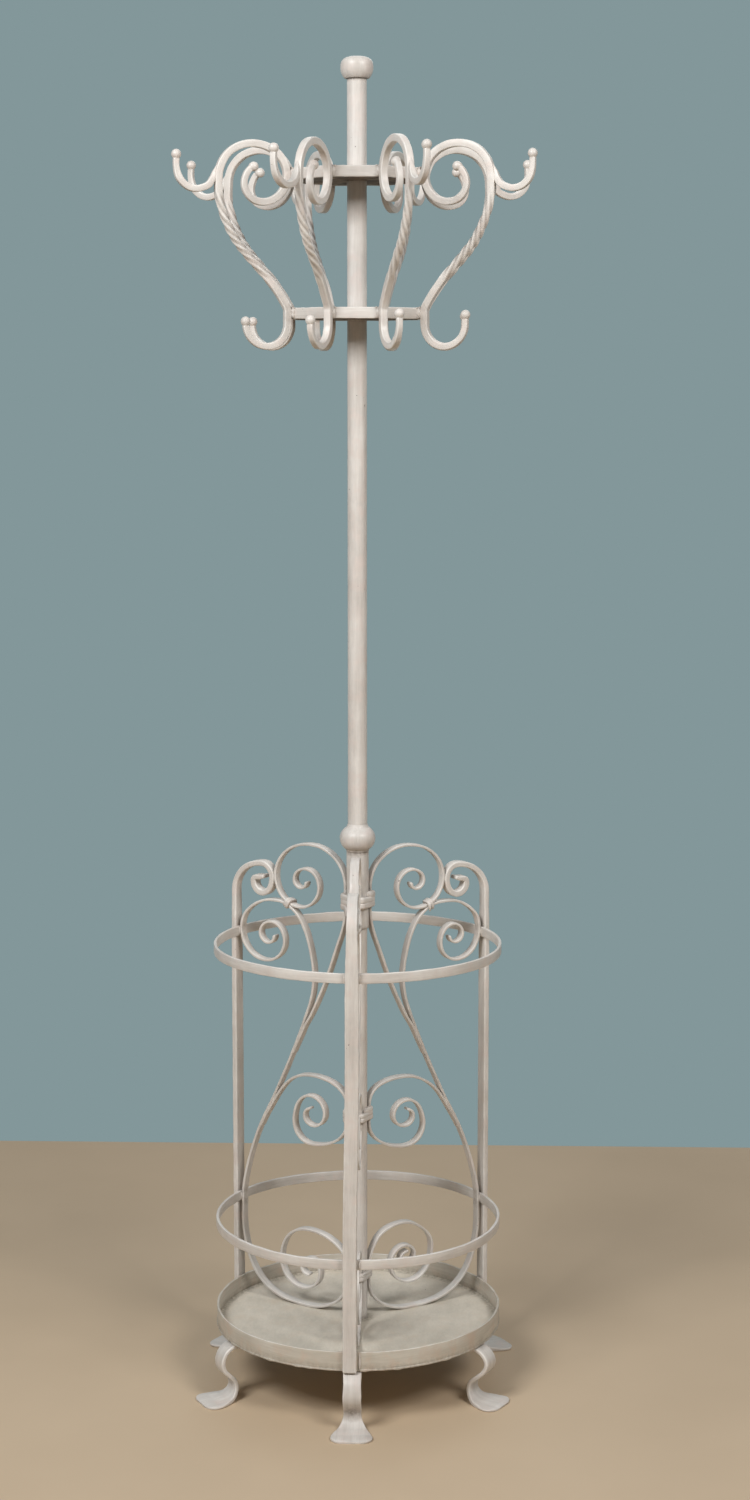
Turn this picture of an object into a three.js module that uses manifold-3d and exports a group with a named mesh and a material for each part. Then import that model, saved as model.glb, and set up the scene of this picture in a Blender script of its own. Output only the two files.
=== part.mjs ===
// Hall tree with hooks: a wrought-iron stand for coats, hats and walking sticks.
// A tube carries eight branching hooks round two hubs. Below it a cage of three scrolled panels,
// three posts and two hoops stands on a round drip tray with six legs.
// Millimetres, +Z up, the origin on the floor under the tube, one post at the front (-Y).

import * as THREE from 'three';
import { mergeVertices } from 'three/addons/utils/BufferGeometryUtils.js';
import Module from 'manifold-3d';

const wasm = await Module();
wasm.setup();

// ---------------------------------------------------------------- driving dimensions

const gap = 0.3;                  // left between pieces that touch
const seatGap = 0.6;              // between a flat bar and the inside of a round hoop
const scarfGap = 0.6;             // between a scarfed end and the bar it lies on
const barTolerance = 0.45;        // how far the facets of a bent bar may cut a bend

// Pole, from the top down
const finialTop = 1846;
const finialHeight = 29;
const finialCrown = 15.5;         // from its widest circle up to its top
const finialLand = 3;             // its underside stands out by this much round the pole
const finialRadius = 22.2;
const spigotLength = 24;
const poleRadius = 13.5;
const poleWall = 2.6;
const knopBottom = 764;
const knopHeight = 39;
const knopRadius = 25;
const knopLand = 2;               // flat ring left round the bore at each end of the ball
const knopRing = 3;               // straight ring below the ball
const knopNeck = 4.3;             // neck above it
const knopLip = 1;                // the neck's wall
const sleeveDrop = 109;           // how far the sleeve reaches down from the knop
const sleeveWall = 1.7;
const jointDrop = 64;             // the upper and lower tubes meet this far below the knop

// Hoops and posts
const cageRadius = 202;           // outside of the hoops and of the tray rim
const hoopHeight = 14;
const hoopThickness = 4;
const upperHoopDrop = 128;        // from the knop down to the top of the upper hoop
const lowerHoopRise = 155;        // from the tray's floor up to the top of the lower hoop
const postWidth = 19;
const postThickness = 8;
const postCurlRise = 12.5;        // a post's curl lies this far above the middle of the top collar
const postShoulderDrop = 16;      // and the post starts to bend inward this far below the curl

// Flat bars of the panels
const barWidth = 12.5;
const barThickness = 3.6;
const barTip = 1.2;               // thickness that a scarfed end thins down to
const upperScrollRise = 4;        // straight bar between the top collar and an upper scroll
const tieAngle = -64;             // direction in which an upper scroll faces its side bar
const tieGap = 0.6;
const innerScarfDrop = 131;       // from the top of the upper hoop down to the inner bar's scarf
const innerScarfLength = 48;
const midScrollReach = 62;        // from the bar on the tube to the centre of a middle scroll
const lowScrollReach = 65;
const lowScrollHeight = 55;

// Collars round the tube and the bars tied to it
const stripThickness = 2.4;
const stripTurns = 3;
const stripCrown = 0.8;           // how deep the grooves between the turns are
const topCollarDrop = 70.5;       // from the knop down to the middle of the top collar
const collarHeight = 30;
const midCollarRise = 298.5;      // from the tray's floor up to the middle of the middle collar
const midCollarHeight = 24;
const lowCollarRise = 63.5;
const lowCollarHeight = 22;
const tieHeight = 11;             // small collar round an upper scroll and a side bar
const tieClearance = 0.9;

// Tray and legs
const legHeight = 82;             // floor to the underside of the tray
const trayFloorThickness = 2.5;
const trayRimHeight = 27.4;
const trayRimThickness = 3;
const legWidth = 25;
const legThickness = 6;
const legBearing = 26;            // how far a leg runs in under the tray from its knee
const kneeRadius = 22;
const kneeTurn = 135;
const shinLength = 12;
const kneeInset = 6;              // the knee's centre lies this far inside the tray rim
const toeReach = 46;              // how far a toe stands out beyond the tray rim
const toeWidth = 58;
const flareLength = 62;           // the foot widens over this length of bar, from the ankle to the toe
const toeLength = 20;             // and is drawn thin over this one
const toeThickness = 4;

// Hook head
const hubHeight = 15;
const hubBandThickness = 5;
const hubPlateThickness = 3;
const upperHubDrop = 164;         // from the top of the finial down to the underside of the upper hub
const hubSpacing = 184;           // from the lower hub up to the upper one
const hookBar = 10;               // square section of a hook bar
const hookStem = 8;               // the same bar near a ball
const ballRadius = 6.5;
const hookLine = 100;             // radius of the hook bars' centre line at the hubs
const coatHookReach = 29.5;       // inner radius of a coat hook, to the bar's centre line
const coatHookDrop = 7;           // its centre lies this far below the lower hub
const coatHookTip = 12;           // and its ball this far above the centre
const twistTurns = 1.75;          // as a left-hand screw
const twistStart = 70;            // from the coat hook along the bar
const twistLength = 130;
const twistStep = 7.5;
const hatLoopRise = 2;            // from the upper hub's underside up to the centre of the loop
const outerHookReach = 53;        // from the loop's outside to the outer hook's ball
const outerHookRise = 9;          // the outer hook's bend ends this far above the loop's centre
const outerHookTip = 18;
const branchBar = 9;              // square section of an outer hook
const branchTip = 1.2;            // thickness of its scarfed end
const branchScarf = 22;           // length of the scarf on the loop's shoulder
const branchDrop = 6;             // the scarf ends this far below the loop's centre

const hookCount = 8;
const legCount = 6;
const roundSides = 24;
const hoopSides = 48;

// ---------------------------------------------------------------- worked out from them

const sleeveRadius = poleRadius + gap + sleeveWall;
const sleeveBottom = knopBottom - sleeveDrop;
const poleJoint = knopBottom - jointDrop;
const topCollarCentre = knopBottom - topCollarDrop;
const upperHoopTop = knopBottom - upperHoopDrop;
const innerScarfTop = upperHoopTop - innerScarfDrop;
const postCurlHeight = topCollarCentre + postCurlRise;
const postShoulder = postCurlHeight - postShoulderDrop;
const toeRadius = cageRadius + toeReach;
const trayTop = legHeight + trayFloorThickness;
const lowerHoopTop = trayTop + lowerHoopRise;
const midCollarCentre = trayTop + midCollarRise;
const lowCollarCentre = trayTop + lowCollarRise;
const upperHubBottom = finialTop - upperHubDrop;
const lowerHubBottom = upperHubBottom - hubSpacing;
const hatLoopHeight = upperHubBottom + hatLoopRise;
const outerHookHeight = hatLoopHeight + outerHookRise;
const hoopInside = cageRadius - hoopThickness;
const postLine = cageRadius + gap + postThickness / 2;
const sleeveBarLine = sleeveRadius + gap + barThickness / 2;
const tubeBarLine = poleRadius + gap + barThickness / 2;
const hoopBarLine = hoopInside - seatGap - barThickness / 2;
const hubCorner = hookLine - hookBar / 2 - gap;

const postAngles = { front: -90, right: 30, left: 150 };
const hookNames = ['right_back', 'back_right', 'back_left', 'left_back',
  'left_front', 'front_left', 'front_right', 'right_front'];
const legNames = ['front', 'right_front', 'right_back', 'back', 'left_back', 'left_front'];

const ironPaint = { color: 0xd9d1c4, roughness: 0.48, metalness: 0 };
const trayPaint = { color: 0xbdb8a8, roughness: 0.6, metalness: 0 };

// ---------------------------------------------------------------- flat paths

// A path lies in one upright plane through the stand's axis. Each of its points is (radius, height,
// thickness of the bar there).
const at = (r, z, thickness = 0) => new THREE.Vector3(r, z, thickness);
const degrees = THREE.MathUtils.degToRad;
const blend = THREE.MathUtils.lerp;
const ease = THREE.MathUtils.smoothstep;

function polar(centre, radius, angle) {
  return at(centre.x + radius * Math.cos(degrees(angle)), centre.y + radius * Math.sin(degrees(angle)));
}

// A quarter of an ellipse between two points, leaving the first one upright or level.
function quarter(from, to, upright) {
  return Array.from({ length: 30 }, (_, i) => {
    const slow = 1 - Math.cos(degrees(3 * i));
    const fast = Math.sin(degrees(3 * i));
    return at(blend(from.x, to.x, upright ? slow : fast), blend(from.y, to.y, upright ? fast : slow));
  });
}

// A bend through its outermost points: upright at the first, level at the next, and so on.
function bend(points, upright = true) {
  const turns = points.slice(1).flatMap((point, i) => quarter(points[i], point, upright === (i % 2 === 0)));
  return [...turns, points.at(-1)];
}

// A scroll about a centre, given its reach at every quarter turn.
function scroll(centre, reaches, from, direction) {
  return bend(reaches.map((reach, i) => polar(centre, reach, from + direction * 90 * i)), from % 180 === 0);
}

// A smooth curve through the points.
function smooth(points) {
  const curve = new THREE.CatmullRomCurve3(points, false, 'centripetal');
  return curve.getPoints((points.length - 1) * 12);
}

const thick = (path, thickness) => path.map((p) => at(p.x, p.y, thickness));

// Each point of a path with its direction and its distance along the path.
function measured(path) {
  const flat = path.map((p) => new THREE.Vector2(p.x, p.y));
  let travelled = 0;
  return path.map((point, i) => {
    const before = flat[Math.max(i - 1, 0)];
    const after = flat[Math.min(i + 1, path.length - 1)];
    travelled += flat[i].distanceTo(before);
    return { point, tangent: after.clone().sub(before).normalize(), travelled };
  });
}

const lengthOf = (path) => measured(path).at(-1).travelled;

// How far a point lies off the straight line between two others.
function offLine(point, from, to) {
  const line = new THREE.Line3(at(from.x, from.y), at(to.x, to.y));
  const flat = at(point.x, point.y);
  return line.closestPointToPoint(flat, true, at(0, 0)).distanceTo(flat);
}

// The fewest points of a path that keep within a tolerance of it and within the longest step.
function stations(path, tolerance, longestStep) {
  const all = measured(path);
  const kept = [all[0]];
  let from = 0;
  for (let to = 2; to < all.length; to += 1) {
    const passed = all.slice(from + 1, to);
    const misses = passed.some(({ point }) => offLine(point, all[from].point, all[to].point) > tolerance);
    if (misses || all[to].travelled - all[from].travelled > longestStep(all[to])) {
      kept.push(all[to - 1]);
      from = to - 1;
    }
  }
  kept.push(all.at(-1));
  return kept;
}

// A scarfed end: it lies against the side of another bar and thickens along it from a thin tip.
// The side is 1 for the left of the host's direction and -1 for its right.
function scarfed(host, hostThickness, side, tip, full) {
  const length = lengthOf(host);
  return measured(host).map(({ point, tangent, travelled }) => {
    const thickness = blend(tip, full, travelled / length);
    const shift = side * (hostThickness / 2 + scarfGap + thickness / 2);
    return at(point.x - tangent.y * shift, point.y + tangent.x * shift, thickness);
  });
}

// ---------------------------------------------------------------- solids

function geometryOf(positions, index) {
  const geometry = new THREE.BufferGeometry();
  geometry.setAttribute('position', new THREE.Float32BufferAttribute(positions, 3));
  geometry.setIndex(index);
  geometry.computeVertexNormals();
  return geometry;
}

// A bar of rectangular section swept along a path in the XZ plane. shape(station) gives its width
// across the plane and its twist in degrees; its thickness comes with the path.
function barAlong(path, shape, longestStep = () => Infinity) {
  const rings = stations(path, barTolerance, longestStep);
  const positions = rings.flatMap((station) => {
    const { point, tangent } = station;
    const { width, twist = 0 } = shape(station);
    return [[1, 1], [-1, 1], [-1, -1], [1, -1]].flatMap(([a, b]) => {
      const corner = new THREE.Vector2(a * point.z / 2, b * width / 2);
      corner.rotateAround(new THREE.Vector2(), degrees(twist));
      return [point.x - tangent.y * corner.x, -corner.y, point.y + tangent.x * corner.x];
    });
  });
  const index = [0, 2, 1, 0, 3, 2];
  for (let ring = 0; ring < rings.length - 1; ring += 1) {
    for (let corner = 0; corner < 4; corner += 1) {
      const a = ring * 4 + corner;
      const b = ring * 4 + (corner + 1) % 4;
      index.push(a, b, b + 4, a, b + 4, a + 4);
    }
  }
  const last = (rings.length - 1) * 4;
  index.push(last, last + 1, last + 2, last, last + 2, last + 3);
  return geometryOf(positions, index);
}

// A closed ring: outline(offset) gives its plan as a counterclockwise list of points, and profile
// lists (offset, height) counterclockwise as seen with the outside to the right.
function ringOf(outline, profile) {
  const positions = profile.flatMap(([offset, height]) => outline(offset).flatMap((p) => [p.x, p.y, height]));
  const around = outline(0).length;
  const index = [];
  for (let level = 0; level < profile.length; level += 1) {
    const above = (level + 1) % profile.length;
    for (let k = 0; k < around; k += 1) {
      const next = (k + 1) % around;
      const [a, b] = [level * around + k, level * around + next];
      const [c, d] = [above * around + next, above * around + k];
      index.push(a, b, c, a, c, d);
    }
  }
  return geometryOf(positions, index);
}

// A round piece from its (radius, height) profile, turned about the Z axis.
function turned(profile, sides) {
  const points = profile.map(([r, z]) => new THREE.Vector2(r, z));
  return new THREE.LatheGeometry(points, sides).rotateX(Math.PI / 2);
}

function tube(outside, inside, bottom, top, sides = roundSides) {
  const wall = [[inside, bottom], [outside, bottom], [outside, top], [inside, top], [inside, bottom]];
  return turned(wall, sides);
}

function polygon(sides, radius, firstAngle) {
  return Array.from({ length: sides }, (_, i) => polar(at(0, 0), radius, firstAngle + 360 * i / sides));
}

function solid(geometry) {
  const bare = geometry.clone();
  bare.deleteAttribute('normal');
  bare.deleteAttribute('uv');
  const merged = mergeVertices(bare, 1e-4);
  return new wasm.Manifold(new wasm.Mesh({
    numProp: 3,
    vertProperties: new Float32Array(merged.attributes.position.array),
    triVerts: new Uint32Array(merged.index.array),
  }));
}

function joined(geometries) {
  const mesh = geometries.map(solid).reduce((sum, piece) => sum.add(piece)).getMesh();
  return geometryOf(Array.from(mesh.vertProperties), Array.from(mesh.triVerts));
}

function ball(centre) {
  return new THREE.SphereGeometry(ballRadius, 8, 5).rotateX(Math.PI / 2).translate(centre.x, 0, centre.y);
}

// ---------------------------------------------------------------- pole

// The (radius, height) profile of a turned ball from its widest circle to one end, where it leaves a flat
// land. The power tells how full the shoulder is, and 2 makes an ellipse.
function ballSide(radius, middle, end, land, power, count) {
  const limit = (1 - (land / radius) ** power) ** (1 / power);
  return Array.from({ length: count + 1 }, (_, i) => {
    const share = Math.sin(degrees(90 * i / count)) * limit;
    return [radius * (1 - share ** power) ** (1 / power), blend(middle, end, share / limit)];
  });
}

function finialGeometry() {
  const bottom = finialTop - finialHeight;
  const middle = finialTop - finialCrown;
  const spigotRadius = poleRadius - poleWall - gap;
  const lower = ballSide(finialRadius, middle, bottom, poleRadius + finialLand, 2, 4).toReversed();
  const upper = ballSide(finialRadius, middle, finialTop, 0, 3, 8).slice(1);
  return turned([[0, bottom - spigotLength], [spigotRadius, bottom - spigotLength], [spigotRadius, bottom],
    ...lower, ...upper], roundSides);
}

function knopGeometry() {
  const bore = poleRadius + gap;
  const land = bore + knopLand;
  const middle = knopBottom + knopHeight / 2;
  const knopTop = knopBottom + knopHeight;
  const lower = ballSide(knopRadius, middle, knopBottom + knopRing, land, 2, 5).toReversed();
  const upper = ballSide(knopRadius, middle, knopTop - knopNeck, land, 2, 5).slice(1);
  const lip = bore + knopLip;
  return turned([[bore, knopBottom], [land, knopBottom], ...lower, ...upper, [lip, knopTop - knopNeck / 2],
    [lip, knopTop], [bore, knopTop], [bore, knopBottom]], roundSides);
}

// ---------------------------------------------------------------- hook head

const hubOutline = (offset) => polygon(hookCount, hubCorner + offset, 180 / hookCount);

function hubBandGeometry(bottom) {
  const inset = -hubBandThickness / Math.cos(Math.PI / hookCount);
  const top = bottom + hubHeight;
  return ringOf(hubOutline, [[inset, bottom], [0, bottom], [0, top], [inset, top]]);
}

function hubPlateGeometry(bottom) {
  const edge = -(hubBandThickness + gap) / Math.cos(Math.PI / hookCount);
  const plate = new THREE.Shape(hubOutline(edge));
  plate.holes.push(new THREE.Path(polygon(roundSides, poleRadius + gap, 0)));
  return new THREE.ExtrudeGeometry(plate, { depth: hubPlateThickness, bevelEnabled: false })
    .translate(0, 0, bottom);
}

// A hook bar from the coat hook's tip, up the twisted shank, over the loop and in to the hat hook.
const coatHookCentre = at(hookLine + coatHookReach, lowerHubBottom - coatHookDrop);
const coatHook = [
  at(hookLine + 2 * coatHookReach, coatHookCentre.y + coatHookTip),
  ...bend([polar(coatHookCentre, coatHookReach, 0), polar(coatHookCentre, coatHookReach, 270),
    polar(coatHookCentre, coatHookReach, 180)]),
];
const loopReaches = [52.5, 43.5, 42.5, 31, 15.5, 14];
const loopCentre = at(hookLine + loopReaches[2], hatLoopHeight);
const loop = scroll(loopCentre, loopReaches, 0, 1).slice(0, -5);
const shankFoot = at(hookLine, lowerHubBottom + hubHeight / 2);
const shankRise = [[0, 0.03], [0.07, 0.1], [0.26, 0.24], [0.5, 0.38], [0.73, 0.52], [0.89, 0.67],
  [0.975, 0.8], [1.005, 0.9]];
const shank = smooth([
  polar(coatHookCentre, coatHookReach, 180),
  shankFoot,
  ...shankRise.map(([out, up]) => at(blend(shankFoot.x, loop[0].x, out), blend(shankFoot.y, loop[0].y, up))),
  loop[0],
]);
const hookLength = lengthOf([...coatHook, ...shank, ...loop]);

// The bar is drawn down from its full section towards both tips.
const hookPath = measured([...coatHook, ...shank.slice(1), ...loop.slice(1)]).map(({ point, travelled }) => {
  const fromTip = Math.min(travelled, hookLength - travelled);
  return at(point.x, point.y, blend(hookStem, hookBar, ease(fromTip, 0, 90)));
});

function hookBarGeometry() {
  const start = lengthOf(coatHook) + twistStart;
  const turning = (travelled) => THREE.MathUtils.clamp((travelled - start) / twistLength, 0, 1);
  const shape = ({ point, travelled }) => ({ width: point.z, twist: -360 * twistTurns * turning(travelled) });
  const onTwist = (travelled) => travelled > start && travelled < start + twistLength + twistStep;
  const bar = barAlong(hookPath, shape, ({ travelled }) => (onTwist(travelled) ? twistStep : Infinity));
  return joined([bar, ball(hookPath[0]), ball(hookPath.at(-1))]);
}

// The outer hook: scarfed on to the loop's shoulder, out from it and up to its ball.
const shoulder = measured([...shank.filter((p) => p.y > loopCentre.y - branchDrop), ...loop.slice(1)]);
const branchHost = shoulder.filter(({ travelled }) => travelled <= branchScarf).map(({ point }) => point);
const branchRoot = scarfed(branchHost.toReversed(), hookBar, 1, branchTip, branchBar);
const branchOut = at(loop[0].x + hookBar / 2 + outerHookReach, outerHookHeight);
const branchPath = smooth([
  ...branchRoot.filter((_, i) => i % 3 === 0),
  at(branchOut.x - 44.5, branchOut.y - 19.8, branchBar),
  at(branchOut.x - 39, branchOut.y - 23, branchBar),
  at(branchOut.x - 27, branchOut.y - 26, branchBar),
  at(branchOut.x - 14.5, branchOut.y - 23, branchBar),
  at(branchOut.x - 4.5, branchOut.y - 13.5, branchBar),
  at(branchOut.x, branchOut.y, hookStem),
  at(branchOut.x, branchOut.y + outerHookTip, hookStem),
]);

function outerHookGeometry() {
  const shape = ({ point, travelled }) => ({ width: travelled < 2 * branchScarf ? branchBar : point.z });
  return joined([barAlong(branchPath, shape), ball(branchPath.at(-1))]);
}

// ---------------------------------------------------------------- cage panels, in each post's plane

// Inner bar: from the eye of the upper scroll over to the sleeve, down through the top collar and
// out to the side bar, where its end is scarfed on.
const upperReaches = [72.5, 53, 46, 38, 27.5, 18, 14.5, 9.5];
const upperCentre = at(sleeveBarLine + upperReaches[0], topCollarCentre + collarHeight / 2 + upperScrollRise);
const upperScroll = scroll(upperCentre, upperReaches, 180, -1);

// The point of the upper scroll that faces the side bar, both at right angles to the tie.
function tieOn() {
  const [across, down] = [upperReaches[2], upperReaches[3]];
  const [c, s] = [Math.cos(degrees(tieAngle)), Math.sin(degrees(tieAngle))];
  const reach = Math.hypot(across * c, down * s);
  return at(upperCentre.x + across * across * c / reach, upperCentre.y + down * down * s / reach);
}
const tieInner = tieOn();
const tieOuter = polar(tieInner, barThickness + tieGap, tieAngle);

// Side bar: from the eye of the side scroll inside the upper hoop, past the small collar, down to the
// lower hoop, and round over the tray to the bottom collar and its eye.
const sideReaches = [52, 48, 38, 29, 19, 15.5, 13.5, 9];
const sideCentre = at(hoopBarLine - sideReaches[1], upperHoopTop - hoopHeight / 2);
const sideScroll = scroll(sideCentre, sideReaches, 90, -1);
const lowReaches = [62, 48, 30, 22, 18, 16];
const trayBarLine = trayTop + gap + barThickness / 2;
const lowCentre = at(tubeBarLine + lowScrollReach, trayBarLine + lowScrollHeight);
const lowTie = [at(tubeBarLine, lowCollarCentre - lowCollarHeight / 2 - 1),
  at(tubeBarLine, lowCollarCentre + lowCollarHeight / 2 + 1)];
const lowScroll = [
  ...quarter(at(lowCentre.x, trayBarLine), lowTie[0], false),
  ...quarter(lowTie[1], polar(lowCentre, lowReaches[0], 90), true),
  ...scroll(lowCentre, lowReaches, 90, -1),
];
const sideLean = [[0.308, 0.87], [0.33, 0.79], [0.4, 0.7], [0.5, 0.59], [0.6, 0.49], [0.7, 0.395],
  [0.8, 0.31], [0.885, 0.22], [0.945, 0.137], [0.985, 0.065]];
const hoopMiddles = [lowerHoopTop - hoopHeight / 2, upperHoopTop - hoopHeight / 2];
const sideLeaning = smooth([
  sideScroll[0],
  at(tieOuter.x + 15, tieOuter.y + 5),
  tieOuter,
  at(tieOuter.x - 13.5, tieOuter.y - 9.5),
  at(tieOuter.x - 22, tieOuter.y - 20),
  at(tieOuter.x - 31, tieOuter.y - 37),
  at(tieOuter.x - 39, tieOuter.y - 63),
  ...sideLean.map(([out, up]) => at(blend(tubeBarLine, hoopBarLine, out), blend(...hoopMiddles, up))),
  at(hoopBarLine, lowerHoopTop),
  at(hoopBarLine, lowerHoopTop - hoopHeight),
  at(hoopBarLine + 0.5, lowerHoopTop - hoopHeight - 22),
  at(hoopBarLine - 1.5, lowerHoopTop - hoopHeight - 48),
  at(hoopBarLine - 13, trayBarLine + 50),
  at(hoopBarLine - 33, trayBarLine + 22.5),
  at(hoopBarLine - 62, trayBarLine + 6),
  at(lowCentre.x + 18, trayBarLine + 0.3),
  at(lowCentre.x, trayBarLine),
]);
const sideBarLine = [...sideScroll.toReversed(), ...sideLeaning.slice(1), ...lowScroll.slice(1)];
const sideBarPath = thick(sideBarLine, barThickness);

// The stretch of the side bar between two heights, running upwards.
const belowTie = sideLeaning.filter((p) => p.y < tieInner.y - 60);
const sideBarBetween = (low, high) => belowTie.filter((p) => p.y >= low && p.y <= high).reverse();

const innerScarf = scarfed(sideBarBetween(innerScarfTop - innerScarfLength, innerScarfTop), barThickness, 1,
  barTip, barThickness);
const sleeveFoot = at(sleeveBarLine, topCollarCentre - collarHeight / 2 - 3, barThickness);
const innerLean = [[0.05, 0.12], [0.22, 0.31], [0.47, 0.58], [0.7, 0.785], [0.86, 0.91]];
const innerEnd = innerScarf.at(-1);
const innerBarPath = [
  ...thick(upperScroll.toReversed(), barThickness),
  ...smooth([
    at(sleeveBarLine, sleeveFoot.y + 6, barThickness),
    sleeveFoot,
    ...innerLean.map(([out, down]) => at(blend(sleeveFoot.x, innerEnd.x, out),
      blend(sleeveFoot.y, innerEnd.y, down), barThickness)),
    ...innerScarf.filter((_, i) => i % 4 === 0).toReversed(),
  ]),
];

// Middle scroll: scarfed on to the side bar, over the top, down past the middle collar and round.
const midReaches = [45, 27, 27, 24, 17, 11, 8];
const midCentre = at(tubeBarLine + midScrollReach, midCollarCentre - 9);
const midTop = at(midCentre.x, midCentre.y + 57);
const midTie = [at(tubeBarLine, midCollarCentre + midCollarHeight / 2 + 1),
  at(tubeBarLine, midCollarCentre - midCollarHeight / 2 - 1)];
const midScarf = scarfed(sideBarBetween(midCollarCentre - 40, midCollarCentre + 12), barThickness, 1,
  barTip, barThickness);
const midScarfEnd = midScarf.at(-1);
const midShoulder = [[0.63, 0.295], [0.307, 0.05], [0, 0]];
const midBarPath = [
  ...smooth([
    ...midScarf.filter((_, i) => i % 4 === 0),
    ...midShoulder.map(([out, down]) => at(blend(midTop.x, midScarfEnd.x, out),
      blend(midTop.y, midScarfEnd.y, down), barThickness)),
  ]),
  ...thick([
    ...quarter(midTop, midTie[0], false),
    ...quarter(midTie[1], polar(midCentre, midReaches[0], 270), true),
    ...scroll(midCentre, midReaches, 270, 1),
  ], barThickness),
];

const panelBar = (path) => barAlong(path, () => ({ width: barWidth }));

// ---------------------------------------------------------------- collars

// Plan of a strip drawn tight round a tube and the three panels' bars lying on it.
function wrapOutline(tubeRadius) {
  const reach = tubeRadius + gap + barThickness + gap + barTolerance;
  const half = barWidth / 2 + gap;
  return (offset) => Object.values(postAngles).flatMap((angle) => {
    const corner = (side) => new THREE.Vector2(reach + offset, side * (half + offset * 0.6))
      .rotateAround(new THREE.Vector2(), degrees(angle));
    return [corner(-1), corner(1), polar(at(0, 0), tubeRadius + gap * 3 + offset, angle + 60)];
  });
}

// Section of a strip wound in turns, with a shallow groove between each turn and the next.
function woundProfile(centre, height, turns) {
  const bottom = centre - height / 2;
  const pitch = height / turns;
  const bulges = Array.from({ length: turns }, (_, turn) => bottom + turn * pitch).flatMap((low) => [
    [stripThickness - stripCrown, low],
    [stripThickness, low + stripCrown],
    [stripThickness, low + pitch - stripCrown],
  ]);
  return [[0, bottom], ...bulges, [stripThickness - stripCrown, bottom + height], [0, bottom + height]];
}

function collarGeometry(tubeRadius, centre, height) {
  return ringOf(wrapOutline(tubeRadius), woundProfile(centre, height, stripTurns));
}

// Small collar binding an upper scroll and a side bar where they touch, turned to lie along them.
function smallCollarGeometry() {
  const halfAcross = barThickness + tieGap / 2 + tieClearance;
  const halfWide = barWidth / 2 + tieClearance;
  const outline = (offset) => [[1, -1], [1, 1], [-1, 1], [-1, -1]]
    .map(([a, b]) => at(a * (halfAcross + offset), b * (halfWide + offset)));
  const middle = tieInner.clone().lerp(tieOuter, 0.5);
  const collar = ringOf(outline, woundProfile(0, tieHeight, 2));
  return collar.rotateY(degrees(-tieAngle)).translate(middle.x, 0, middle.y);
}

// ---------------------------------------------------------------- posts, hoops, tray and legs

// A post's curl just touches the outside of the upper scroll.
const curlReaches = [26, 17, 15.5, 10];
const curlInside = upperCentre.x + upperReaches[2] + barThickness / 2 + gap + postThickness / 2;
const curlCentre = at(curlInside + curlReaches[1], postCurlHeight);

function postGeometry() {
  const shoulder = at(postLine, postShoulder);
  const over = quarter(shoulder, polar(curlCentre, curlReaches[0], 90), true);
  const path = [at(postLine, legHeight), ...over, ...scroll(curlCentre, curlReaches, 90, 1)];
  return barAlong(thick(path, postThickness), () => ({ width: postWidth }), () => postShoulder - legHeight);
}

function hoopGeometry(top) {
  return tube(cageRadius, hoopInside, top - hoopHeight, top, hoopSides);
}

function trayRimGeometry() {
  return tube(cageRadius, cageRadius - trayRimThickness, legHeight, legHeight + trayRimHeight, hoopSides);
}

function trayFloorGeometry() {
  const radius = cageRadius - trayRimThickness - seatGap;
  return turned([[0, legHeight], [radius, legHeight], [radius, trayTop], [0, trayTop]], hoopSides);
}

// An arc of a path about every 5 degrees.
function arc(centre, radius, from, to) {
  const count = Math.ceil(Math.abs(to - from) / 5);
  return Array.from({ length: count + 1 }, (_, i) => polar(centre, radius, from + (to - from) * i / count));
}

// A leg's centre line: out from under the tray, round the knee, down the shin, round the ankle and
// along the foot.
function legPath() {
  const topLine = legHeight - gap - legThickness / 2;
  const kneeCentre = at(cageRadius - kneeInset, topLine - kneeRadius);
  const kneeEnd = polar(kneeCentre, kneeRadius, 90 - kneeTurn);
  const shinEnd = polar(kneeEnd, shinLength, -kneeTurn);
  const ankleRadius = (shinEnd.y - legThickness / 2) / (1 + Math.cos(degrees(180 - kneeTurn)));
  const ankleCentre = polar(shinEnd, ankleRadius, 90 - kneeTurn);
  const bent = [
    at(kneeCentre.x - legBearing, topLine),
    ...arc(kneeCentre, kneeRadius, 90, 90 - kneeTurn),
    ...arc(ankleCentre, ankleRadius, 270 - kneeTurn, 270),
  ];
  const toe = (share) => at(toeRadius - toeLength * share, toeThickness / 2, toeThickness);
  return [...thick(bent, legThickness), ...[1, 0.7, 0.48, 0.3, 0.16, 0.06, 0].map(toe)];
}

// The foot spreads to its full width a little before the toe's edge and then rounds off.
function footWidth(fromEdge) {
  const share = THREE.MathUtils.clamp(1 - fromEdge / flareLength, 0, 1);
  const rounding = Math.max(share - 0.87, 0) / 0.13;
  return blend(legWidth, toeWidth, ease(share, 0, 0.87)) * Math.sqrt(1 - 0.8 * rounding * rounding);
}

function legGeometry() {
  const path = legPath();
  const length = lengthOf(path);
  const shape = ({ travelled }) => ({ width: footWidth(length - travelled) });
  return barAlong(path, shape, ({ travelled }) => (travelled > length - flareLength ? 3 : Infinity));
}

// ---------------------------------------------------------------- the stand

const stand = new THREE.Group();

function place(name, geometry, paint = ironPaint, azimuth = 0) {
  const mesh = new THREE.Mesh(geometry, new THREE.MeshStandardMaterial(paint));
  mesh.name = name;
  mesh.rotation.z = degrees(azimuth);
  stand.add(mesh);
}

place('finial', finialGeometry());
place('pole', tube(poleRadius, poleRadius - poleWall, poleJoint + gap, finialTop - finialHeight - gap));
place('knop', knopGeometry());
place('socket_sleeve', tube(sleeveRadius, poleRadius + gap, sleeveBottom, knopBottom - gap));
place('centre_tube', tube(poleRadius, poleRadius - poleWall, trayTop + gap, poleJoint));

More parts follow.
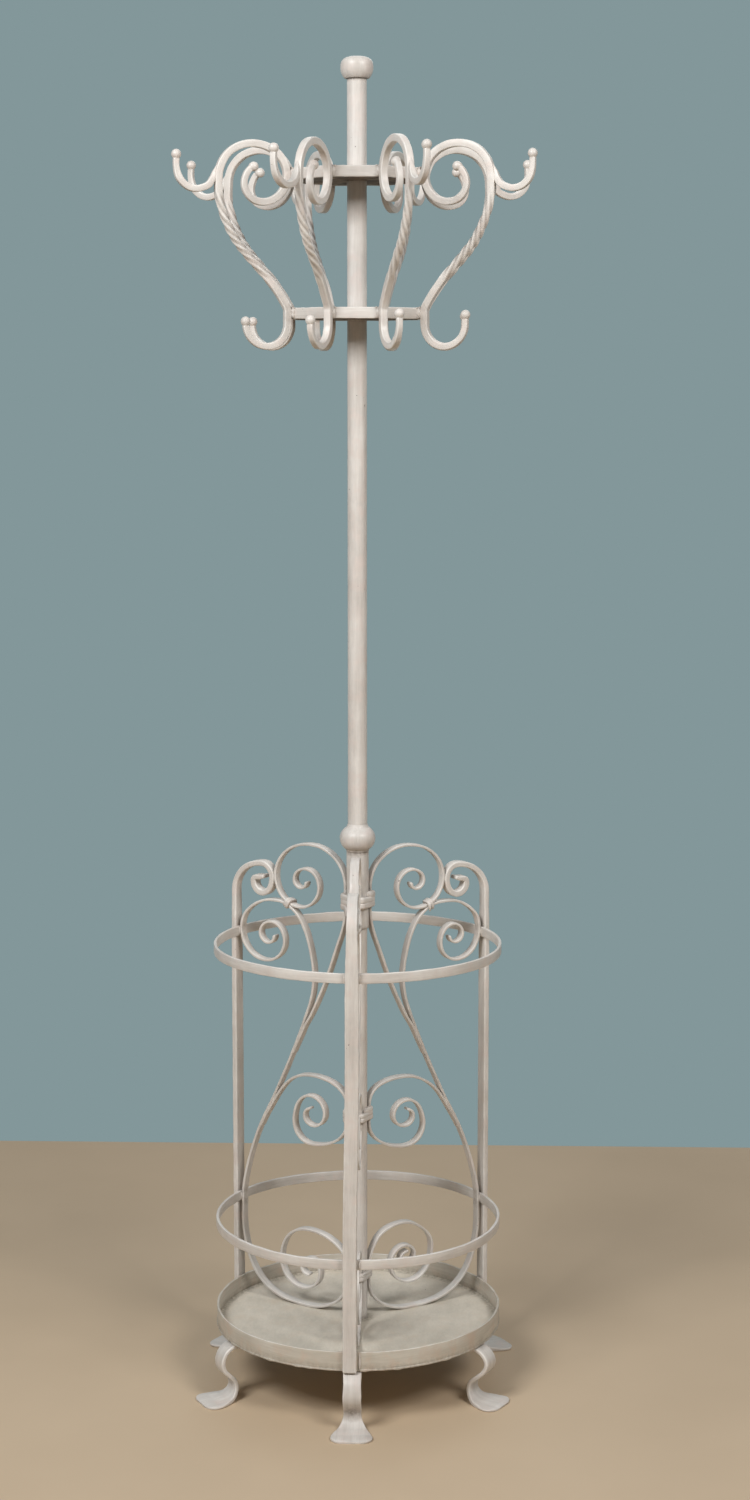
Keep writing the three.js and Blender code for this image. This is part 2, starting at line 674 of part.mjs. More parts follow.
for (const [name, bottom] of [['upper', upperHubBottom], ['lower', lowerHubBottom]]) {
  place(`${name}_hub_band`, hubBandGeometry(bottom));
  place(`${name}_hub_plate`, hubPlateGeometry(bottom));
}

hookNames.forEach((name, i) => {
  const azimuth = (360 / hookCount) * (i + 0.5);
  place(`hook_bar_${name}`, hookBarGeometry(), ironPaint, azimuth);
  place(`outer_hook_${name}`, outerHookGeometry(), ironPaint, azimuth);
});

for (const [name, azimuth] of Object.entries(postAngles)) {
  place(`post_${name}`, postGeometry(), ironPaint, azimuth);
  place(`inner_bar_${name}`, panelBar(innerBarPath), ironPaint, azimuth);
  place(`side_bar_${name}`, panelBar(sideBarPath), ironPaint, azimuth);
  place(`middle_scroll_${name}`, panelBar(midBarPath), ironPaint, azimuth);
  place(`small_collar_${name}`, smallCollarGeometry(), ironPaint, azimuth);
}

place('top_collar', collarGeometry(sleeveRadius, topCollarCentre, collarHeight));
place('middle_collar', collarGeometry(poleRadius, midCollarCentre, midCollarHeight));
place('bottom_collar', collarGeometry(poleRadius, lowCollarCentre, lowCollarHeight));
place('upper_hoop', hoopGeometry(upperHoopTop));
place('lower_hoop', hoopGeometry(lowerHoopTop));
place('tray_rim', trayRimGeometry(), trayPaint);
place('tray_floor', trayFloorGeometry(), trayPaint);

legNames.forEach((name, i) => {
  place(`leg_${name}`, legGeometry(), ironPaint, -90 + (360 / legCount) * i);
});

export default stand;
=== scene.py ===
# %% [markdown]
# # A wrought-iron hall tree
# A hall tree holds coats, hats and walking sticks. This one is smith's work: square bars bent into hooks
# round a tube, and under them a cage of flat bars rolled into scrolls, all of it painted off-white by
# brush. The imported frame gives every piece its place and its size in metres. Each step below makes one
# kind of piece again with the soft edges, the unevenness and the paint that the real one has.

import bpy
import numpy as np
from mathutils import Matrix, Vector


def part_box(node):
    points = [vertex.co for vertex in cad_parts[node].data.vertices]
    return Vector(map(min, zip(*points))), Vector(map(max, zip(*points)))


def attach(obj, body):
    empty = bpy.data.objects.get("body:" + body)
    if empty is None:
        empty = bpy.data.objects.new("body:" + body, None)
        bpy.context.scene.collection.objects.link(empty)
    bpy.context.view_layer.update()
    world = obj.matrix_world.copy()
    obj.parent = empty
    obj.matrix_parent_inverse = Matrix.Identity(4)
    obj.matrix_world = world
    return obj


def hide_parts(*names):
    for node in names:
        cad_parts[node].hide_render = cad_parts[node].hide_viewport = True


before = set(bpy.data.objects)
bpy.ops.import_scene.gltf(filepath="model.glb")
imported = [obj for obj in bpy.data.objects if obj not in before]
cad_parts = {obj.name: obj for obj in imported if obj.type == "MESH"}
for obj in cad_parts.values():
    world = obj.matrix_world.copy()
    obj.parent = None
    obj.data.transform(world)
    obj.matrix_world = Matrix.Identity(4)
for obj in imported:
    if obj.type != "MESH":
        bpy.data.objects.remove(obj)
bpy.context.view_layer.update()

# %% [markdown]
# ## Sizes
# A smith works in millimetres, so the shapes are worked out in millimetres and scaled once, when a mesh
# is made. Heights and radii are measured on the frame's nodes, so that each new piece lands where its
# node is. What a box can't tell, such as how a scroll winds in, is written as named values.

# %% Measure the frame
MM = 0.001


def corners(node):
    """Lowest and highest corner of a node in millimetres."""
    low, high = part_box(node)
    return np.array(low) / MM, np.array(high) / MM


def heights(node):
    """Bottom and top of a node."""
    low, high = corners(node)
    return low[2], high[2]


def radius(node):
    """Radius of a round node about the stand's axis: its reach along X."""
    return corners(node)[1][0]


pole_radius, sleeve_radius, cage_radius = radius("pole"), radius("socket_sleeve"), radius("upper_hoop")
tray_bottom, tray_top = heights("tray_floor")
knop_bottom, knop_top = heights("knop")
upper_hub, lower_hub = heights("upper_hub_band"), heights("lower_hub_band")
print("radii", pole_radius, sleeve_radius, cage_radius, "tray top", tray_top, "hubs", upper_hub, lower_hub)

# %% Sizes of the bars
bar_thickness, bar_width = 3.6, 12.5
hoop_thickness, post_thickness, post_width = 4.0, 8.0, 19.0
hook_bar, hook_stem, ball_radius = 10.0, 8.0, 6.5
touch = 0.3          # the frame keeps this much air between pieces that touch

sleeve_line = sleeve_radius + touch + bar_thickness / 2
tube_line = pole_radius + touch + bar_thickness / 2
hoop_line = cage_radius - hoop_thickness - 2 * touch - bar_thickness / 2
post_line = cage_radius + touch + post_thickness / 2
tray_line = tray_top + touch + bar_thickness / 2
post_azimuths = {"front": -90, "right": 30, "left": 150}
hook_names = ("right_back", "back_right", "back_left", "left_back",
              "left_front", "front_left", "front_right", "right_front")
hook_azimuths = {name: 22.5 + 45 * i for i, name in enumerate(hook_names)}
leg_names = ("front", "right_front", "right_back", "back", "left_back", "left_front")
leg_azimuths = {name: -90 + 60 * i for i, name in enumerate(leg_names)}
print("bar lines", sleeve_line, tube_line, hoop_line, post_line, tray_line)

# %% [markdown]
# ## Drawing a bar's path
# A smith bends a scroll over a former, and its radius shrinks a little at every quarter turn. So a scroll
# is given by its reach from the centre at every quarter turn, and a short list says how tight it winds.
# A spline with handles could do it too, but the reaches are easier to read and to change. Plain bends are
# quarter ellipses, which leave upright or level and arrive at right angles to that, and the loose, leaning
# stretches between scrolls are smooth curves through a few points. A path is an array of (radius, height)
# rows in one upright plane.

# %% Quarters and scrolls
def polar(centre, reach, angle):
    """Points at a reach from a centre: centre + reach times (cosine, sine) of the angle in degrees."""
    a = np.radians(angle)
    return np.asarray(centre) + np.asarray(reach)[..., None] * np.stack([np.cos(a), np.sin(a)], axis=-1)


def quarter(start, end, upright, count=24):
    """A quarter ellipse: start + (end - start) times (1 - cos t, sin t), or (sin t, 1 - cos t) if it
    leaves level."""
    t = np.linspace(0, np.pi / 2, count, endpoint=False)
    shares = [1 - np.cos(t), np.sin(t)] if upright else [np.sin(t), 1 - np.cos(t)]
    return np.asarray(start) + (np.asarray(end) - start) * np.stack(shares, axis=1)


def bend(points, upright=True):
    """Quarter ellipses from point to point, leaving the first upright, the next level, and so on."""
    turns = [quarter(a, b, upright == (i % 2 == 0)) for i, (a, b) in enumerate(zip(points, points[1:]))]
    return np.vstack([*turns, points[-1]])


def cubic(b, c, s, f, t):
    """From b to c with the slopes s and f at the ends: b + s t + (3(c-b) - 2s - f) t^2 +
    (2(b-c) + s + f) t^3."""
    return b + s * t + (3 * (c - b) - 2 * s - f) * t**2 + (2 * (b - c) + s + f) * t**3


def scroll(centre, reaches, start, turn, count=24):
    """A scroll: its reach from the centre is given at every quarter turn, from a start angle. In between,
    the reach is a cubic whose slopes are half the difference of the neighbours, or none at the start, so
    that the scroll leaves at right angles to its first reach."""
    reaches = np.asarray(reaches, float)
    slopes = np.gradient(reaches)
    slopes[0] = 0
    ends = [v[:, None] for v in (reaches[:-1], reaches[1:], slopes[:-1], slopes[1:])]
    reach = cubic(*ends, np.linspace(0, 1, count, endpoint=False)).ravel()
    reach = np.append(reach, reaches[-1])
    return polar(centre, reach, start + turn * 90 * np.arange(len(reach)) / count)


def through(points, count=12):
    """A smooth curve through points: one cubic from each point to the next, whose end slopes come from the
    neighbours, weighted by the square roots of the distances."""
    p = np.asarray(points, float)
    p = np.vstack([2 * p[0] - p[1], p, 2 * p[-1] - p[-2]])
    d = np.sqrt(np.linalg.norm(np.diff(p, axis=0), axis=1))[:, None]
    a, b, c, e = p[:-3], p[1:-2], p[2:-1], p[3:]
    d0, d1, d2 = d[:-2], d[1:-1], d[2:]
    s = ((b - a) / d0 - (c - a) / (d0 + d1) + (c - b) / d1) * d1
    f = ((c - b) / d1 - (e - b) / (d1 + d2) + (e - c) / d2) * d1
    t = np.linspace(0, 1, count, endpoint=False)[None, :, None]
    curve = cubic(*(part[:, None] for part in (b, c, s, f)), t)
    return np.vstack([curve.reshape(-1, p.shape[1]), p[-2]])


print("one turn of a scroll has", len(scroll((0, 0), [50, 40, 35, 30, 25], 0, 1)), "points")

# %% Lengths and even steps
def along(path, columns=2):
    """Distance travelled at each point: the running sum of the steps between points. A third column holds
    the bar's thickness, which isn't travelled."""
    steps = np.linalg.norm(np.diff(path[:, :columns], axis=0), axis=1)
    return np.concatenate([[0.0], np.cumsum(steps)])


def read_off(path, at):
    """Every column of a path where the travelled distance says."""
    run = along(path)
    return np.stack([np.interp(at, run, column) for column in path.T], axis=1)


def even(path, step=2.0):
    """The same path in equal steps."""
    length = along(path)[-1]
    return read_off(path, np.linspace(0, length, int(np.ceil(length / step)) + 1))


def unit(v):
    """Each row divided by its length."""
    return v / np.maximum(np.linalg.norm(v, axis=-1, keepdims=True), 1e-12)


def ease(x, low, high):
    """0 below low, 1 above high, and 3 t^2 - 2 t^3 between."""
    t = np.clip((x - low) / (high - low), 0, 1)
    return t * t * (3 - 2 * t)


def blend(a, b, share):
    """a at share 0, b at share 1."""
    return a + (b - a) * share


print("even steps", len(even(scroll((0, 0), [50, 40, 35], 0, 1))))

# %% [markdown]
# ## A skin round a path
# Nearly every piece is a bar, so one tool makes them all. It carries a section with rounded edges along
# the path and writes the whole surface as a grid: one row for each station, one column for each point of
# the section. Blender's curve bevel would do this too, but it can't change width and thickness apart,
# twist one stretch only, or swell into a ball at the tip. A forged bar is never quite even, so slow waves
# of a tenth or two of a millimetre go over it.

# %% Frames along a path
upwards = np.array([0, 0, 1.0])


def directions(azimuth):
    """Outward at an azimuth, and to the left of that: (cos a, sin a, 0) and (-sin a, cos a, 0)."""
    a = np.radians(azimuth)
    return np.stack([np.cos(a), np.sin(a), 0 * a], axis=-1), np.stack([-np.sin(a), np.cos(a), 0 * a], axis=-1)


def in_plane(path, azimuth):
    """Stands a flat path up in the plane at an azimuth, which may change along it. Returns its points, the
    direction to the left of travel in that plane, and the direction across the plane."""
    outward, leftward = directions(np.broadcast_to(azimuth, len(path)))
    travel = unit(np.gradient(path[:, :2], axis=0))
    points = path[:, :1] * outward + path[:, 1:2] * upwards
    return points, travel[:, :1] * upwards - travel[:, 1:] * outward, -leftward


def level_ring(outline, height):
    """A level closed outline, counterclockwise: its points, its outward direction and straight up."""
    travel = unit(np.roll(outline, -1, axis=0) - np.roll(outline, 1, axis=0))
    outward = np.stack([travel[:, 1], -travel[:, 0], np.zeros(len(outline))], axis=1)
    points = np.column_stack([outline, np.broadcast_to(height, len(outline))])
    return points, outward, np.broadcast_to(upwards, points.shape)


def angles_of(points):
    """The angle of each point about the axis."""
    return np.arctan2(points[..., 1], points[..., 0])


def circle(r, count=144):
    """Points at radius r, at equal angles, starting at the back."""
    a = np.linspace(0, 2 * np.pi, count, endpoint=False) + np.pi / 2
    return np.stack([r * np.cos(a), r * np.sin(a)], axis=1)


# %% Sections and skins
sine_count, shortest, longest, most_round = 7, 15.0, 70.0, 2


def waves(run, around, size, seed):
    """Slow unevenness of worked metal: sines of random length along the run and of up to two waves around
    the section, added up and divided by the root of their number."""
    rng = np.random.default_rng(seed)
    lengths, phases = rng.uniform(shortest, longest, sine_count), rng.uniform(0, 2 * np.pi, sine_count)
    turns = rng.integers(0, most_round + 1, sine_count)
    angle = 2 * np.pi * run[:, None, None] / lengths + turns * around[None, :, None] + phases
    return size * np.sin(angle).sum(axis=-1) / np.sqrt(sine_count)


corner_a, corner_b = np.array([1, -1, -1, 1]), np.array([1, 1, -1, -1])
middle_a, middle_b = np.array([0, -1, 0, 1]), np.array([1, 0, -1, 0])
nearly_round = 0.94  # the largest edge radius, as a share of the thinner half
squeeze = 0.06       # how much the grain is squeezed along the brush's way


def skin(frames, thick, wide, edge, twist=0.0, fine=4, uneven=0.12, seed=0, closed=False, hollow=0.0):
    """A bar's surface. Each edge of the section is a quarter circle whose centre lies the edge radius
    inside both faces, and one more point marks the middle of each face. The section turns by the twist,
    and each of its points then stands off the path by a along the left direction and b along the across
    direction. The edge line is 1 on the crest of an edge, where the paint gets a painted highlight, and the
    hollow says how much dirt and painted shade the middles of the faces hold."""
    points, left, across = frames
    half_a, half_b, edge, twist, hollow = (
        np.broadcast_to(np.asarray(v, float), len(points))[:, None]
        for v in (np.asarray(thick) / 2, np.asarray(wide) / 2, edge, twist, hollow))
    thinner = np.minimum(half_a, half_b)
    edge = np.minimum(edge, nearly_round * thinner)
    turn = np.radians(np.arange(4)[:, None] * 90 + np.append(np.linspace(0, 90, fine), 90)).ravel()
    side_a, side_b = (np.column_stack([corner] * fine + [middle]).ravel()
                      for corner, middle in ((corner_a, middle_a), (corner_b, middle_b)))
    a = side_a * (half_a - edge) + edge * np.cos(turn)
    b = side_b * (half_b - edge) + edge * np.sin(turn)
    run = along(points, 3)
    swell = 1 + waves(run, turn, uneven, seed) / np.maximum(np.hypot(half_a, half_b), 2.0)
    a, b = a * swell, b * swell
    grain = np.stack([a, b, np.broadcast_to(run[:, None] * squeeze, a.shape)], axis=-1) + 37.0 * seed
    # Where the painted highlight goes: the crest of each edge
    edge_line = np.abs(np.sin(2 * turn)) * (1 - ease(edge / thinner, 0.6, nearly_round))
    # Dirt and painted shade for the middles of the faces
    in_hollow = (side_a * side_b == 0) * hollow
    a, b = a * np.cos(twist) - b * np.sin(twist), a * np.sin(twist) + b * np.cos(twist)
    grid = points[:, None] + a[..., None] * left[:, None] + b[..., None] * across[:, None]
    if closed:
        grain = grid * [squeeze, squeeze, 1.0]
    return {"grid": grid, "grain": grain, "closed": closed, "edge_line": edge_line, "hollow": in_hollow}


near_end = np.array([0, 0.03, 0.12, 0.26, 0.42, 0.6, 0.8, 1])


def rounded_end(path, sizes, reach):
    """Rounds the ends of a bar: over the last reach each size shrinks as a circle does, by
    2 reach (1 - sqrt(1 - 0.9 u^2)), where u runs from 0 to 1 at the end. Rows are added where it is
    steep."""
    run = along(path)
    inside = run[(run > reach) & (run < run[-1] - reach)]
    at = np.concatenate([reach * near_end, inside, run[-1] - reach * near_end[::-1]])
    u = np.clip(1 - np.minimum(run[-1] - at, at) / reach, 0, 1)
    cut = 2 * reach * (1 - np.sqrt(1 - 0.9 * u * u))
    sizes = [np.interp(at, run, size) for size in sizes]
    return read_off(path, at), [np.maximum(size - cut, 0.2 * size) for size in sizes]


# %% Lathe work
def turned(profile, count=64, loop=False, flutter=0.0, seed=0):
    """A piece turned on the lathe: each (radius, height) point of the profile goes round the axis as
    (r cos a, r sin a, z). A profile that isn't a loop starts and ends at the axis, where a small disc
    closes it."""
    profile = np.asarray(profile, float)
    a = np.linspace(0, 2 * np.pi, count, endpoint=False) + np.pi / 2
    r, z = np.maximum(profile[:, :1], 0.05), profile[:, 1:2]
    r = r * (1 + waves(z[:, 0], a, flutter, seed) / np.maximum(r, 8.0))
    grid = np.stack([r * np.cos(a), r * np.sin(a), np.broadcast_to(z, (len(z), count))], axis=-1)
    return {"grid": grid, "grain": grid * [1.0, 1.0, squeeze] + 11.0 * seed, "closed": loop}


def upright(r, z):
    """A straight side of a profile: the same radius at every height."""
    return np.column_stack([np.full(len(z), r), z])


def rounded_profile(points, cut, count=5):
    """A closed outline with soft corners: round each corner p runs (1-t)^2 a + 2t(1-t) p + t^2 b between
    points a and b that lie a cut before and after it."""
    p = np.asarray(points, float)
    before, after = np.roll(p, 1, axis=0) - p, np.roll(p, -1, axis=0) - p
    a, b = p + unit(before) * cut, p + unit(after) * cut
    t = np.linspace(0, 1, count)[None, :, None]
    curve = (1 - t) ** 2 * a[:, None] + 2 * t * (1 - t) * p[:, None] + t**2 * b[:, None]
    return curve.reshape(-1, 2)


print("an eight-sided outline in", len(rounded_profile(circle(95, 8), 6)), "points")

# %% [markdown]
# ## From grids to pieces
# A mesh needs points and faces. On a grid the faces are the same for every piece: each point, its
# neighbour round the section and the two above them. So one function numbers them for any grid, closes the
# ends with one flat face each, and turns all faces outwards if the enclosed volume comes out negative.
# It also stores three things that the paint needs: the grain, a copy of the coordinates squeezed along
# the brush's way, so that noise in them draws brush marks; the dirt and shade, which is strong near every
# joint, where a duster doesn't reach and the paint gets a painted shade; and the edge line, which is strong
# on the crest of every edge, where the paint gets a painted highlight.

# %% Where the joints are
all_round, round_rim = np.arange(0, 360, 12), np.arange(0, 360, 2.5)
at_hooks, at_posts = list(hook_azimuths.values()), list(post_azimuths.values())
at_legs = list(leg_azimuths.values())
upper_hoop, lower_hoop = heights("upper_hoop"), heights("lower_hoop")
low_collar, mid_collar, top_collar = heights("bottom_collar"), heights("middle_collar"), heights("top_collar")
joint_table = [       # azimuths, radius, heights, size of the spot of dirt and painted shade
    (at_hooks, 95, (*upper_hub, *lower_hub), 9),
    (all_round, pole_radius, (upper_hub[0] + 3, lower_hub[0] + 3), 5),
    (all_round, pole_radius + 1, (heights("finial")[0] + 24,), 3.5),
    (all_round, pole_radius + 2, (knop_bottom,), 5),
    (all_round, sleeve_radius, (heights("socket_sleeve")[0],), 3),
    (at_posts, cage_radius - 3, (*upper_hoop, *lower_hoop), 9),
    (at_posts, cage_radius - 2, (tray_bottom, tray_top + 22), 9),
    (at_posts, sleeve_radius, top_collar, 9),
    (at_posts, pole_radius, (*mid_collar, *low_collar), 9),
    (at_legs, cage_radius - 6, (tray_bottom,), 12),
    (round_rim, cage_radius - 4, (tray_top,), 7),
    (at_legs, cage_radius + 6, (26,), 13),
    (all_round, pole_radius, (tray_top,), 9),
]
joints = np.vstack([
    np.column_stack([polar((0, 0), r, azimuths), np.full((len(azimuths), 2), (z, size))])
    for azimuths, r, levels, size in joint_table for z in levels
])


def dirt_and_shade_on(points, batch=20000):
    """How much dirt and painted shade each point gets: the largest of exp(-(distance / size)^2) over all
    joints. Batches keep the table of distances small."""
    worst = []
    for part in np.split(points, range(batch, len(points), batch)):
        squared = ((part[:, None] - joints[None, :, :3]) ** 2).sum(axis=-1)
        worst.append(np.exp(-squared / joints[:, 3] ** 2).max(axis=1))
    return np.concatenate(worst)


# %% Make a piece
def numbered(shell, first):
    """Faces of a grid whose points are numbered from first on: point, next round, next round one row up, one
    row up. Open grids get end faces."""
    rows, cols = shell["grid"].shape[:2]
    row = np.arange(rows if shell["closed"] else rows - 1)[:, None]
    col = np.arange(cols)[None, :]
    up, on = (row + 1) % rows, (col + 1) % cols
    quads = np.stack([row * cols + col, row * cols + on, up * cols + on, up * cols + col], axis=-1)
    quads = quads.reshape(-1, 4)
    p = shell["grid"].reshape(-1, 3)
    p = p - p.mean(axis=0)
    a, b, c, d = (p[quads[:, i]] for i in range(4))
    inside_out = np.einsum("ij,ij->", a, np.cross(b, c) + np.cross(c, d)) < 0
    faces = (first + (quads[:, ::-1] if inside_out else quads)).tolist()
    if not shell["closed"]:
        ends = [np.arange(cols)[::-1], np.arange(cols) + (rows - 1) * cols]
        faces += [(first + (end[::-1] if inside_out else end)).tolist() for end in ends]
    return faces


def gathered(shells, key, across=()):
    """One value, or one row of values, for every point of every shell. What a shell lacks is 0."""
    shapes = [(*shell["grid"].shape[:2], *across) for shell in shells]
    parts = [np.broadcast_to(shell.get(key, 0.0), shape) for shell, shape in zip(shells, shapes)]
    return np.concatenate([part.reshape(-1, *across) for part in parts])


def make_piece(name, shells, stands_for, finish=None, sharp=50):
    """One Blender object from one or more shells, riding on the stand and standing for CAD nodes. Without
    a finish of its own it gets the iron's paint."""
    points, grain = gathered(shells, "grid", (3,)), gathered(shells, "grain", (3,))
    # Dirt and painted shade near the joints and in the hollows
    dirt_and_shade = np.maximum(dirt_and_shade_on(points), gathered(shells, "hollow"))
    faces, first = [], 0
    for shell in shells:
        faces += numbered(shell, first)
        first += shell["grid"].size // 3
    mesh = bpy.data.meshes.new(name)
    mesh.from_pydata((points * MM).tolist(), [], faces)
    mesh.attributes.new("grain", "FLOAT_VECTOR", "POINT").data.foreach_set("vector", (grain * MM).ravel())
    for kind, values in (("dirt_and_shade", dirt_and_shade), ("edge_line", gathered(shells, "edge_line"))):
        mesh.attributes.new(kind, "FLOAT", "POINT").data.foreach_set("value", values)
    mesh.polygons.foreach_set("use_smooth", np.ones(len(faces), bool))
    mesh.set_sharp_from_angle(angle=np.radians(sharp))
    mesh.materials.append(finish or iron_paint)
    piece = bpy.data.objects.new(name, mesh)
    bpy.context.scene.collection.objects.link(piece)
    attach(piece, "root")
    if stands_for:
        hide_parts(*stands_for)
        lows, highs = zip(*(corners(node) for node in stands_for))
        off = np.abs([points.min(axis=0) - np.min(lows, axis=0), points.max(axis=0) - np.max(highs, axis=0)])
        print(f"{name}: {len(points)} points, {len(faces)} faces, box off by {off.max():.1f} mm")

# %% [markdown]
# ## Brush-applied paint
# The stand has several coats of off-white paint, put on by brush. Four things show that: fine strokes
# along each bar, slow clouds where the coats differ in tone, dirt that has gathered at the joints, and a
# few chips down to the dark iron. The joints and hollows also get a painted shade mixed into that dirt,
# and the crest of every edge gets a painted highlight. A painted picture could hold all that, but noise in
# the material needs no picture, fits every piece and stays sharp from close by. The strokes read the grain
# coordinates and so follow each bar, and the rest reads the piece's own coordinates.

# %% Short ways to wire a material
def colour(r, g, b):
    """A screen colour of 0 to 255 as the linear values that a shader reads: ((c + 0.055) / 1.055)^2.4, or
    c / 12.92 where it is nearly black, for c from 0 to 1."""
    c = np.array([r, g, b]) / 255
    linear = np.where(c <= 0.04045, c / 12.92, ((c + 0.055) / 1.055) ** 2.4)
    return (*linear.tolist(), 1.0)


def node(tree, kind, inputs, **settings):
    """Adds a node, makes its settings, and fills its inputs with values or with links."""
    made = tree.nodes.new("ShaderNode" + kind)
    for key, value in settings.items():
        setattr(made, key, value)
    for key, value in inputs.items():
        if isinstance(value, bpy.types.NodeSocket):
            tree.links.new(value, made.inputs[key])
        else:
            made.inputs[key].default_value = value
    return made


def noise(tree, place, scale, detail=2.0, roughness=0.5, warp=0.0):
    """Smooth noise from 0 to 1 in the given coordinates."""
    inputs = {"Vector": place, "Scale": scale, "Detail": detail, "Roughness": roughness, "Distortion": warp}
    return node(tree, "TexNoise", inputs).outputs["Fac"]


def spread(tree, value, low, high, to_low=0.0, to_high=1.0):
    """Stretches low..high to to_low..to_high and cuts off what lies outside."""
    inputs = {"Value": value, "From Min": low, "From Max": high, "To Min": to_low, "To Max": to_high}
    return node(tree, "MapRange", inputs).outputs["Result"]


def sums(tree, operation, *values):
    """Arithmetic on values, numbers or links."""
    return node(tree, "Math", dict(enumerate(values)), operation=operation).outputs[0]


def weighted(tree, *parts):
    """The sum of values times their weights."""
    total = 0.0
    for value, weight in parts:
        total = sums(tree, "MULTIPLY_ADD", value, weight, total)
    return total


def mixed(tree, share, a, b):
    """Colour a where the share is 0 and colour b where it is 1."""
    return node(tree, "Mix", {0: share, 6: a, 7: b}, data_type="RGBA").outputs[2]


# %% The paint
# The first colour is a painted highlight for the crests of the edges, the second is bare iron in chips
edge_highlight, bare = colour(243, 240, 235), colour(66, 52, 42)


def painted(name, light, shade, blush, dirt_and_shade_tone, dull, lumps):
    """Brushed paint over iron. The colour goes from light to shade with clouds and strokes, towards blush
    with wider patches, towards a painted highlight along the edges, towards dirt and painted shade at the
    joints and in the hollows and to bare iron in a few chips. Strokes and lumps are heights for the bump."""
    light, shade, blush, dirt_and_shade_tone = (colour(*tone) for tone in (light, shade, blush, dirt_and_shade_tone))
    material = bpy.data.materials.new(name)
    material.use_nodes = True
    tree = material.node_tree
    tree.nodes.clear()
    place = node(tree, "TexCoord", {}).outputs["Object"]
    grain = node(tree, "Attribute", {}, attribute_name="grain").outputs["Vector"]
    # The dirt and painted shade, and the edge line that carries the painted highlight
    dirt_and_shade, edge_line = (node(tree, "Attribute", {}, attribute_name=kind).outputs["Fac"]
                        for kind in ("dirt_and_shade", "edge_line"))

    strokes = noise(tree, grain, 620, 3, 0.6)
    coarse = noise(tree, grain, 170, 2, 0.5)
    clouds = noise(tree, place, 16, 4, 0.6)
    patches = noise(tree, place, 46, 3, 0.55, 0.4)
    mottle = noise(tree, place, 240, 3, 0.6)

    tone = weighted(tree, (clouds, 0.45), (coarse, 0.3), (strokes, 0.25))
    paint = mixed(tree, spread(tree, tone, 0.38, 0.62), light, shade)
    paint = mixed(tree, spread(tree, patches, 0.5, 0.72, 0, 0.55), paint, blush)
    # A painted highlight along the crest of every edge, in patches
    edge_highlight_share = sums(tree, "MULTIPLY", edge_line, spread(tree, patches, 0.32, 0.6, 0.75, 0.15))
    paint = mixed(tree, edge_highlight_share, paint, edge_highlight)
    # Dirt and painted shade at the joints and in the hollows, in patches
    dirt_and_shade_patchy = sums(tree, "MULTIPLY", dirt_and_shade, spread(tree, mottle, 0.3, 0.62, 0.35, 1))
    paint = mixed(tree, spread(tree, dirt_and_shade_patchy, 0.15, 0.95, 0, 0.62), paint, dirt_and_shade_tone)
    specks, where = noise(tree, place, 330, 2, 0.4), noise(tree, place, 21, 2, 0.5)
    pits = sums(tree, "MULTIPLY", spread(tree, specks, 0.735, 0.755), spread(tree, where, 0.61, 0.65))
    paint = mixed(tree, pits, paint, bare)

    gloss = spread(tree, strokes, 0.3, 0.7, 0.3 + dull, 0.46 + dull)
    gloss = weighted(tree, (gloss, 1.0), (sums(tree, "MAXIMUM", pits, dirt_and_shade_patchy), 0.3))
    lumpy = noise(tree, place, 95, 2, 0.5)
    rise = weighted(tree, (strokes, 0.03), (lumpy, lumps), (mottle, 0.03), (pits, -0.25))
    bump = node(tree, "Bump", {"Height": rise, "Distance": MM, "Strength": 0.9})
    looks = {"Base Color": paint, "Roughness": gloss, "Normal": bump.outputs["Normal"]}
    shader = node(tree, "BsdfPrincipled", looks | {"Specular IOR Level": 0.45})
    node(tree, "OutputMaterial", {"Surface": shader.outputs["BSDF"]})
    return material


tones = {       # light, shade, blush and the tone of dirt and painted shade, then dullness and lumps
    "iron_paint": ((225, 220, 214), (200, 193, 186), (219, 204, 196), (110, 92, 75), 0.0, 0.18),
    "tray_paint": ((221, 213, 199), (203, 196, 182), (212, 199, 181), (108, 98, 80), 0.3, 0.12),
    "rim_paint": ((209, 202, 190), (184, 176, 162), (204, 181, 162), (112, 98, 80), 0.08, 0.2),
    # The plates' undersides: rust, darkened further by painted shade
    "underside_rust_and_shade": ((122, 98, 72), (52, 40, 30), (196, 180, 158), (40, 30, 24), 0.25, 0.6),
}
iron_paint, tray_paint, rim_paint, underside_rust_and_shade = (painted(name, *tone) for name, tone in tones.items())
print("finishes", list(tones))

# %% [markdown]
# ## The pole
# The pole is a steel tube with a flattened ball on top. It drops into a sleeve under a round knop, and a
# thinner tube goes on from there to the tray. All of them are round about the same axis, so each is a
# profile turned round it. A cylinder with a bevel would give the tube, but not the ball's flat underside,
# nor the band above the knop where old paint lies thick and rough.

# %% Finial and pole
finial_top = heights("finial")[1]
finial_bottom = finial_top - 29
finial_radius = radius("finial")


def ball_side(r, middle, end, land, power, count=16):
    """One side of a turned ball, from its widest circle to a flat land: the radius is
    r (1 - u^power)^(1/power), where the height u runs from 0 to where the radius is the land."""
    limit = (1 - (land / r) ** power) ** (1 / power)
    u = np.sin(np.linspace(0, np.pi / 2, count)) * limit
    return np.column_stack([r * np.maximum(1 - u**power, 0) ** (1 / power), blend(middle, end, u / limit)])


crown_middle = finial_top - 15.5
finial_lower = ball_side(finial_radius, crown_middle, finial_bottom, pole_radius + 3, 2)[::-1]
finial_upper = ball_side(finial_radius, crown_middle, finial_top, 0, 3, 24)[1:]
spigot, inside = 10.2, pole_radius - 2.6       # radii of the peg under the ball and of the tubes' inside
finial = [[0, finial_bottom - 20], [spigot, finial_bottom - 20], [spigot, finial_bottom],
          [pole_radius + 2, finial_bottom], *finial_lower, *finial_upper]
make_piece("finial_ball", [turned(finial, 72, flutter=0.12, seed=1)], ["finial"])

